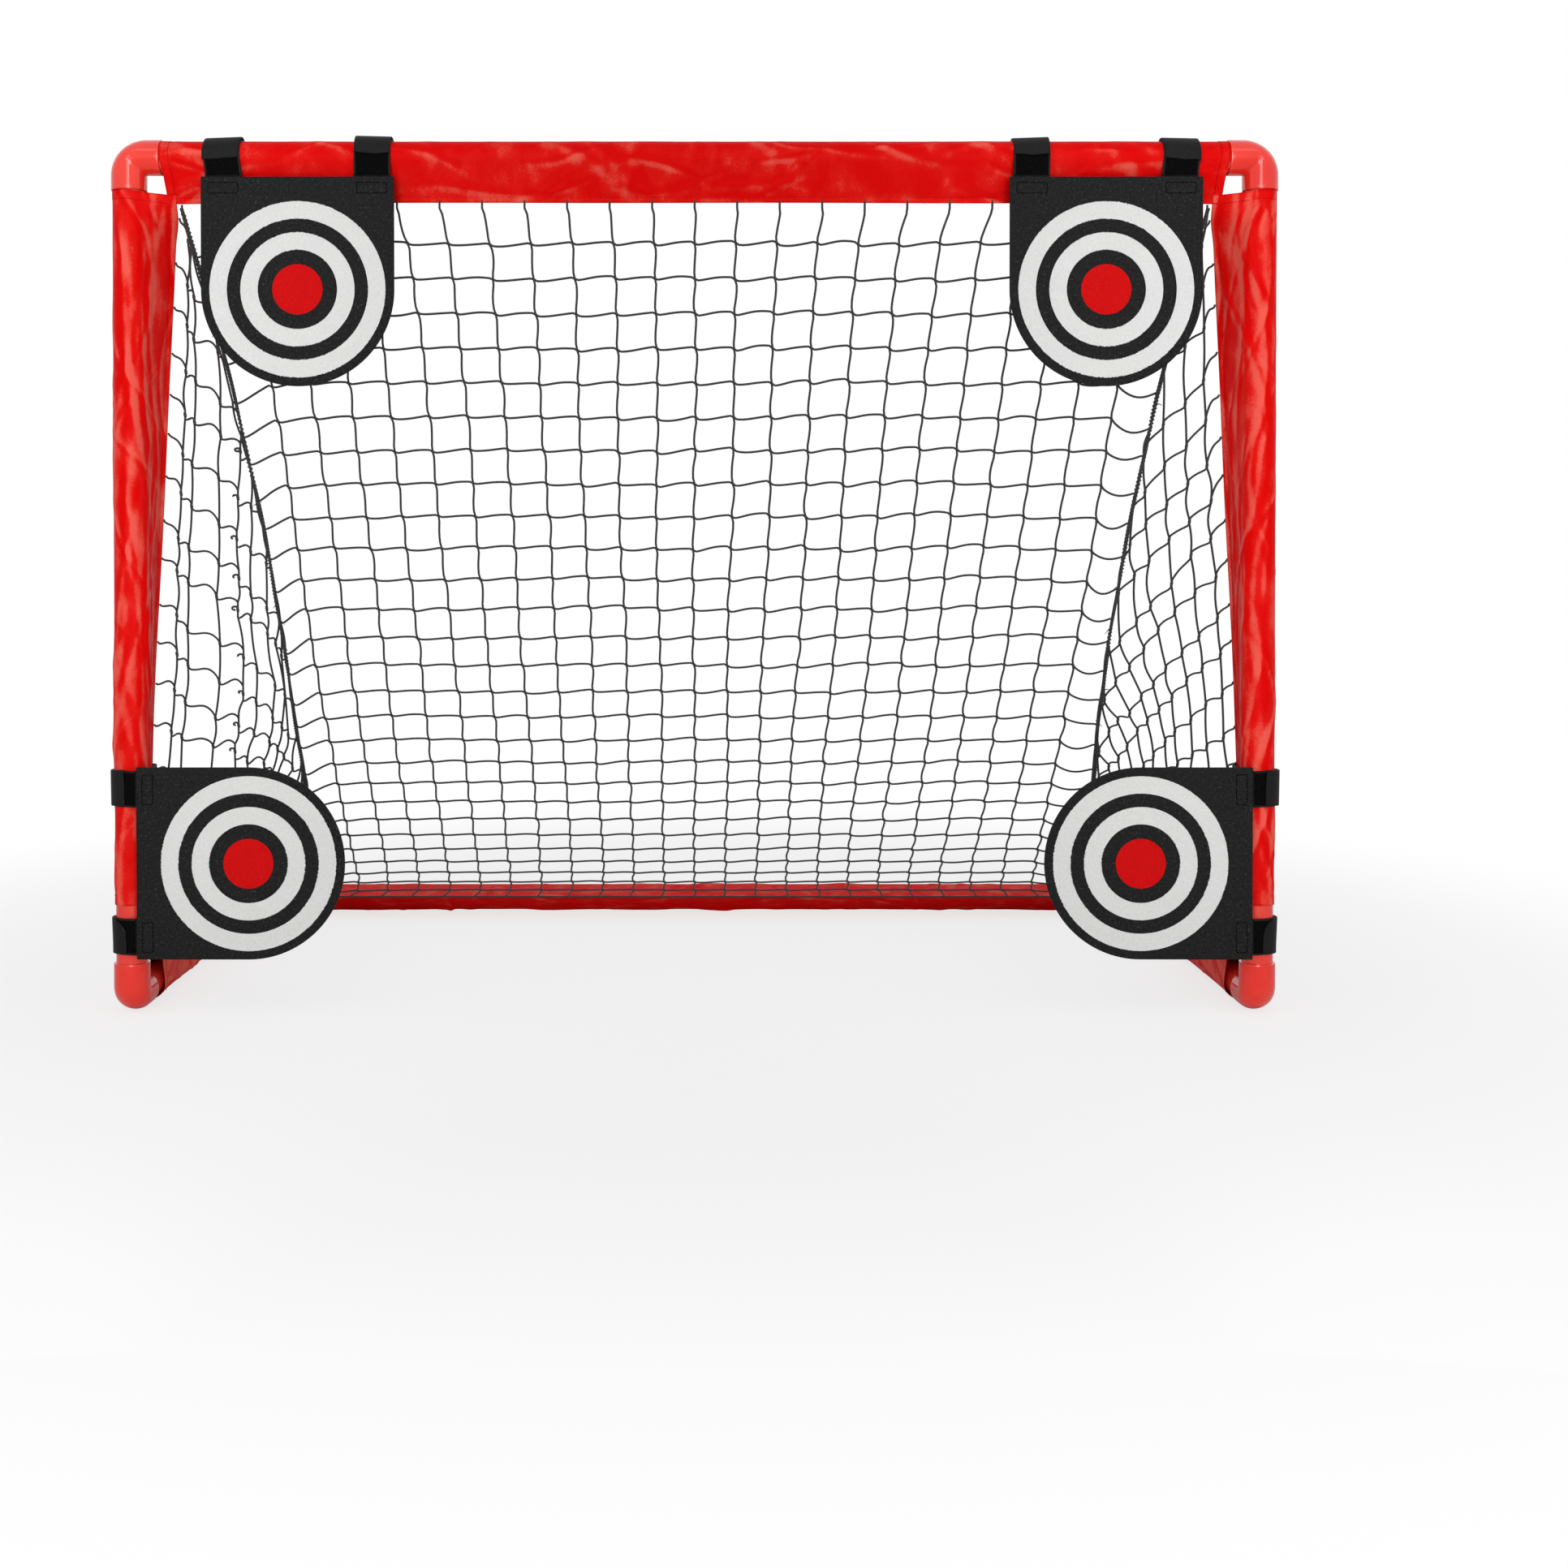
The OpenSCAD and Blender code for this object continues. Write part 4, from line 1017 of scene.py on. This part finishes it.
def printed(inner, outer, seed, jag):
    """A printed ring, or a disc where inner is 0, 0.25 mm proud of the front. Its edges step with the
    weave by up to jag, most of all where they run level."""
    turn = np.linspace(0, tau, 900, endpoint=False)
    pick = np.random.default_rng(seed)
    rough = jag * (0.25 + 0.75 * np.sin(turn) ** 2)[:, None] * pick.uniform(-1, 1, (len(turn), 2))
    edges = [inner + rough[:, 0] * (inner > 0), outer + rough[:, 1]]
    share = np.array([0, 0, 0.25, 0.5, 0.75, 1, 1, 0.5])[:, None]
    out = np.array([0.2, 1, 1, 1, 1, 1, 0.2, 0.2])[:, None]
    radius = edges[0] * (1 - share) + edges[1] * share
    x, z = radius * np.cos(turn), radius * np.sin(turn) - ring_off
    y = panel_wave(x, z) - panel_t / 2 - ink_t * out + 0.00012
    return stack(x, y, z)[None, :, ::-1]


def stitches(corners, gap, length, face_y, thick):
    """Short threads along a closed line of corners: each rises, lies on the cloth and goes in."""
    corners = np.array(corners, float)
    ends = np.roll(corners, -1, 0)
    starts, stops = [], []
    for a, b in zip(corners, ends):
        count = max(1, int(round(np.linalg.norm(b - a) / (length + gap))))
        share = np.linspace(0, 1, count + 1)[:, None]
        at = a + (b - a) * share
        room = (b - a) / count * gap / (length + gap) / 2
        starts.append(at[:-1] + room)
        stops.append(at[1:] - room)
    starts, stops = np.concatenate(starts), np.concatenate(stops)
    share = np.linspace(0, 1, 6)[None, :, None]
    flat = starts[:, None] * (1 - share) + stops[:, None] * share
    lie = np.sign(face_y) * (thick * 0.9 * np.sin(np.pi * share[..., 0]) ** 0.4 - thick * 0.6)
    x, z = np.moveaxis(flat, 2, 0)
    return stack(x, panel_wave(x, z) + face_y + lie, z)


def woven(name, deep, light, speck_and_glint, roughness, level, scale=900):
    """A coarse plain weave: grain between two tones with rare light specks, and its threads'
    relief. On the black thread the light specks are painted glints."""
    material = finish(name, light, roughness, Specular_IOR_Level=level)
    where = node(material, "TexCoord").outputs["Object"]
    coarse = sums(material, "MULTIPLY", noise(material, where, scale * 0.42, 1), 0.5)
    grain = sums(material, "MULTIPLY_ADD", noise(material, where, scale, 3), 0.5, coarse)
    tone = ramp(material, grain, (0.38, deep), (0.6, light), (0.72, speck_and_glint))
    into(material, tone, "Base Color")
    threads = weave(material, where, 330.0, 0.6, "XZ")
    relief(material, sums(material, "MULTIPLY_ADD", grain, 0.8, threads), 0.00012, 0.8)
    return material


def section(width, thick, across=9):
    """A strap's rounded section, over its width and its thickness, once round, outer face first."""
    turn = np.linspace(-np.pi / 2, np.pi / 2, 5)
    flat = np.linspace(-1, 1, across)[1:-1] * (width - thick) / 2
    right = [(width - thick) / 2 + thick / 2 * np.cos(turn[::-1]), thick / 2 * np.sin(turn[::-1])]
    w = np.concatenate([flat, right[0], flat[::-1], -right[0]])
    h = np.concatenate([0 * flat + thick / 2, right[1], 0 * flat - thick / 2, -right[1]])
    return w, h


def closed_ends(points):
    """Adds a last row at each end, pressed flat to mid thickness, so that the skin is closed."""
    count = points.shape[1]
    mate = (np.arange(count) * -1 + count // 2 - 3) % count
    first, last = points[:1], points[-1:]
    return np.concatenate([(first + first[:, mate]) / 2, points, (last + last[:, mate]) / 2])


panel_cloth = woven("target_cloth", (0.0028, 0.003, 0.003), (0.0125, 0.0127, 0.0127), 0.06, 0.75, 0.18)
white_ink = woven("ring_ink", (0.71, 0.71, 0.705), (0.775, 0.775, 0.77),
                  (0.805, 0.805, 0.80), 0.6, 0.3)
red_ink = woven("centre_ink", (0.60, 0.0035, 0.004), (0.67, 0.0045, 0.005),
                (0.72, 0.014, 0.013), 0.55, 0.04)
# The black thread's rare light specks are painted glints.
thread_finish = woven("black_thread", 0.0004, 0.0012, 0.06, 0.8, 0.02, 700)
webbing = woven("strap_weave", 0.005, (0.009, 0.009, 0.0095), (0.03, 0.03, 0.032), 0.6, 0.15, 1400)

tail_top, tail_len = -0.0065, 0.0125
skin = panel_skin()
for place in ("top_left", "top_right", "base_left", "base_right"):
    low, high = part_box(f"target_{place}")
    if place.startswith("top"):
        corner, right, up = ((low.x + high.x) / 2, panel_y, high.z), (1, 0, 0), (0, 0, 1)
    else:
        out = -1 if place.endswith("left") else 1
        corner = (low.x if out < 0 else high.x, panel_y, (low.z + high.z) / 2)
        right, up = (0, 0, -out), (out, 0, 0)
    turned = np.array([right, (0, 1, 0), up], float)
    body, seed = f"panel_{place}", len(place) * 7 + ord(place[-1])

    def placed(points):
        return np.array(corner) + points @ turned

    panel = build(f"target_panel_{place}", [patch(placed(skin)[None])], panel_cloth,
                  body, 50)
    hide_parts(f"target_{place}")
    bands = [patch(placed(printed(r, r + ring_w, seed + k, 0.0006)), (True, True))
             for k, r in enumerate(ring_radii)]
    rings = build(f"target_rings_{place}", bands, white_ink, body, 40)
    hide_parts(f"rings_{place}")
    spot = patch(placed(printed(0, disc_r, seed, 0.00015)), (True, True))
    disc = build(f"target_middle_{place}", [spot], red_ink, body, 40)
    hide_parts(f"centre_{place}")

    w, h = section(strap_w, strap_t)
    tails, threads = [], []
    for side in (-strap_off, strap_off):
        run = np.linspace(tail_top, tail_top - tail_len, 6)[:, None]
        x, z = side + w + 0 * run, run + 0 * w
        y = panel_wave(x, z) + panel_t / 2 + strap_t / 2 + 0.0001 + h
        tails.append(patch(placed(closed_ends(stack(x, y, z)))[None]))
        box_line = [(side + a * box_half_w, box_middle + b * box_half_h)
                    for a, b in ((-1, 1), (1, 1), (1, -1), (-1, -1))]
        for face in (-panel_t / 2, panel_t / 2 + strap_t):
            thread = placed(stitches(box_line, 0.0009, 0.0030, face, 0.0005))
            threads.append(sweep(thread, 0.00044, 5))
    tail_piece = build(f"target_strap_ends_{place}", tails, webbing, body)
    thread_piece = build(f"target_stitching_{place}", threads, thread_finish, body)


# ---- Straps: 38 mm hook-and-loop webbing. Each band runs up from the fold behind a target, round the
# bar, behind the flap and back; its satin tab comes over the bar from behind and closes on the hooks,
# a little proud.

fold_r, turn_gap, strap_solid = 0.0003, 0.0005, 0.0018
strap_gap, belt_step = 0.0003, 0.0011
hook_in, hook_t = 0.0042, 0.0008
hooks = woven("strap_hooks", 0.0005, 0.0017, 0.016, 0.8, 0.05, 1100)
tab_satin = woven("tab_satin", (0.0075, 0.0075, 0.0077), (0.0115, 0.0115, 0.012),
                  (0.020, 0.020, 0.021), 0.5, 0.10, 1500)


def belt(pulleys, grow):
    """The closed line of a band round pulleys (y, out, radius), anticlockwise, that lies grow outside
    them: legs along the common tangents, joined by arcs, or where the band bends the other way by a
    rounded corner."""
    pulleys = np.array(pulleys)
    ahead = np.roll(pulleys, -1, 0) - pulleys
    y, out, grown = ahead.T
    legs = np.arctan2(out, y) - np.arccos(-grown / np.hypot(y, out))
    line = []
    for (y, out, radius), come, go in zip(pulleys, np.roll(legs, 1), legs):
        turn = (go - come + np.pi / 3) % tau - np.pi / 3
        if turn > 0:
            reach = radius + grow
            angle = come + turn * np.linspace(0, 1, max(2, int(turn / 0.06)))
        else:
            reach = (radius + grow) / np.cos(turn / 2)
            angle = np.array([come + turn / 2])
        line.append(stack(y + reach * np.cos(angle), out + reach * np.sin(angle)))
    line = np.concatenate([*line, line[0][:1]])
    length = length_along(line)
    even = np.linspace(0, length[-1], int(length[-1] / belt_step), endpoint=False)
    return sample(even, length, line)


def strap(bar, out, along, bar_r, fold_drop, fold_lean, beyond, shift, lift, lower, tab_drift):
    """Patches of one strap's band, hook face and tab. The band runs over the bar, the fold and the
    pulleys beyond. Its middle moves sideways by shift, the tab stands lift (at its two edges) proud
    of the sleeve, and its lower end lies at heights lower, edge to edge, on the bar."""
    lean = np.radians(fold_lean)
    off = (panel_t / 2 + turn_gap + strap_solid + fold_r) / np.cos(lean)
    edge = (panel_y + off * np.sin(lean), -fold_drop + off * np.cos(lean), fold_r)
    line = belt([(0, 0, bar_r + strap_gap), edge, *beyond], strap_t / 2)
    ahead = unit(np.roll(line, -1, 0) - np.roll(line, 1, 0))
    normal = stack(ahead[:, 1], -ahead[:, 0])
    bar, out, along = np.array(bar), np.array(out, float), np.array(along, float)

    def lift_up(yo, across):
        return bar + yo[..., :1] * [0, 1, 0] + yo[..., 1:] * out + across[..., None] * along

    def drift(yo):
        return shift * step(yo[..., 1], -fold_drop, 0.002)

    w, h = section(strap_w, strap_t)
    grid = line[:, None] + h[None, :, None] * normal[:, None]
    turn_sign = 1 if np.dot(np.cross([0, 1, 0], out), along) > 0 else -1
    band = lift_up(grid, turn_sign * w[None] + drift(line)[:, None])
    length = np.arange(len(line) + 1) * belt_step
    uv = stack(length[:, None], np.append(w, w[0]))
    loop = patch(band[None], (True, True), uv)

    y, height = line.T
    front = np.flatnonzero((y < -0.004) & (height < bar_r * 0.75) & (height > -fold_drop + 0.0025))
    front = front[np.argsort(height[front])[::-1]]
    hw, hh = section(strap_w - hook_in, hook_t, 15)
    proud = (strap_t / 2 + 0.0002 + hh)[None, :, None]
    hook_grid = line[front][:, None] + proud * normal[front][:, None]
    hook = closed_ends(lift_up(hook_grid, turn_sign * hw[None] + drift(line[front])[:, None]))

    w, h = section(strap_w * 0.985, strap_t, 13)
    edge_share = w / strap_w * 2
    low = np.interp(turn_sign * edge_share, np.linspace(-1, 1, len(lower)), lower)
    base = bar_r + strap_gap + 1.5 * strap_t
    start = np.arcsin(np.clip(low / base, -0.99, 0.99))
    share = np.linspace(0, 1, 40)[:, None]
    angle = start + (2.5 - start) * share
    proud = np.interp(turn_sign * edge_share, [-1, 1], lift) - 2 * strap_t - strap_gap
    bump = step(angle, 0.15, 1.25) * (1 - step(angle, 1.7, 2.45))
    radius = base + np.maximum(proud, 0.0002) * bump + 0.00025 * np.exp(-(angle - start) / 0.06) + h
    yo = stack(-radius * np.cos(angle), radius * np.sin(angle))
    across = turn_sign * w + shift + tab_drift * (1 - step(angle, 0, 1.4))
    tab = closed_ends(lift_up(yo, across)[::-1])
    return loop, patch(hook[None]), patch(tab[None])


strap_facts = {
    "top_left_outer": (-0.0026, (0.0034, 0.0048), (-0.0053, -0.0040, -0.0029), -0.0012),
    "top_left_inner": (-0.0003, (0.0060, 0.0050), (0.0023, 0.0002, 0.0014), 0.0),
    "top_right_inner": (0.0006, (0.0034, 0.0047), (0.0002, -0.0010, 0.0006), 0.0),
    "top_right_outer": (0.0020, (0.0040, 0.0032), (-0.0034, -0.0052, -0.0066), 0.0010),
    "base_left_upper": (0.0004, (0.0036, 0.0042), (0.0014, 0.0015, 0.0026), 0.0012),
    "base_left_lower": (0.0, (0.0030, 0.0042),
                        (0.0002, 0.0003, 0.0004, 0.0004, 0.0010, 0.0052, 0.0128), 0.0006),
    "base_right_upper": (0.0004, (0.0046, 0.0052), (0.0024, 0.0025, 0.0038), 0.0012),
    "base_right_lower": (0.0, (0.0030, 0.0044),
                         (0.0, 0.0004, 0.0008, 0.0010, 0.0017, 0.0043, 0.0120), 0.0006),
}
top_drop = top_z - panel_box[1].z
base_drop = axis_x - abs(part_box("target_base_left")[0].x)
tip_r = strap_solid + strap_gap
hook_patches, tab_patches = [], []
for place, facts in strap_facts.items():
    low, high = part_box(f"strap_{place}")
    if place.startswith("top"):
        bar, out, along = ((low.x + high.x) / 2, 0, top_z), (0, 0, 1), (1, 0, 0)
        bar_r, drop, lean, beyond = sleeve_r, top_drop, 30, [(0, -edge_off, tip_r)]
    else:
        hand = -1 if "left" in place else 1
        middle = (low.z + high.z) / 2
        bar, out, along = (hand * axis_x, 0, middle), (hand, 0, 0), (0, 0, 1)
        bar_r, drop, lean, beyond = tube_r, base_drop, 15, []
    if place.endswith("upper"):
        turn, half = flap_turn(middle), strap_w / 2
        wobble = abs(flap_turn(middle - half) - flap_turn(middle + half)) / 2
        tip = (edge_off * np.sin(turn), -edge_off * np.cos(turn), tip_r + edge_off * np.sin(wobble))
        bar_r, beyond = sleeve_r, [(0, 0, sleeve_r + strap_gap), tip]
    loop, hook, tab = strap(bar, out, along, bar_r, drop, lean, beyond, *facts)
    band = build(f"strap_band_{place}", [loop], webbing)
    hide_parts(f"strap_{place}")
    hook_patches.append(hook)
    tab_patches.append(tab)
build("strap_hook_faces", hook_patches, hooks)
build("strap_tabs", tab_patches, tab_satin)
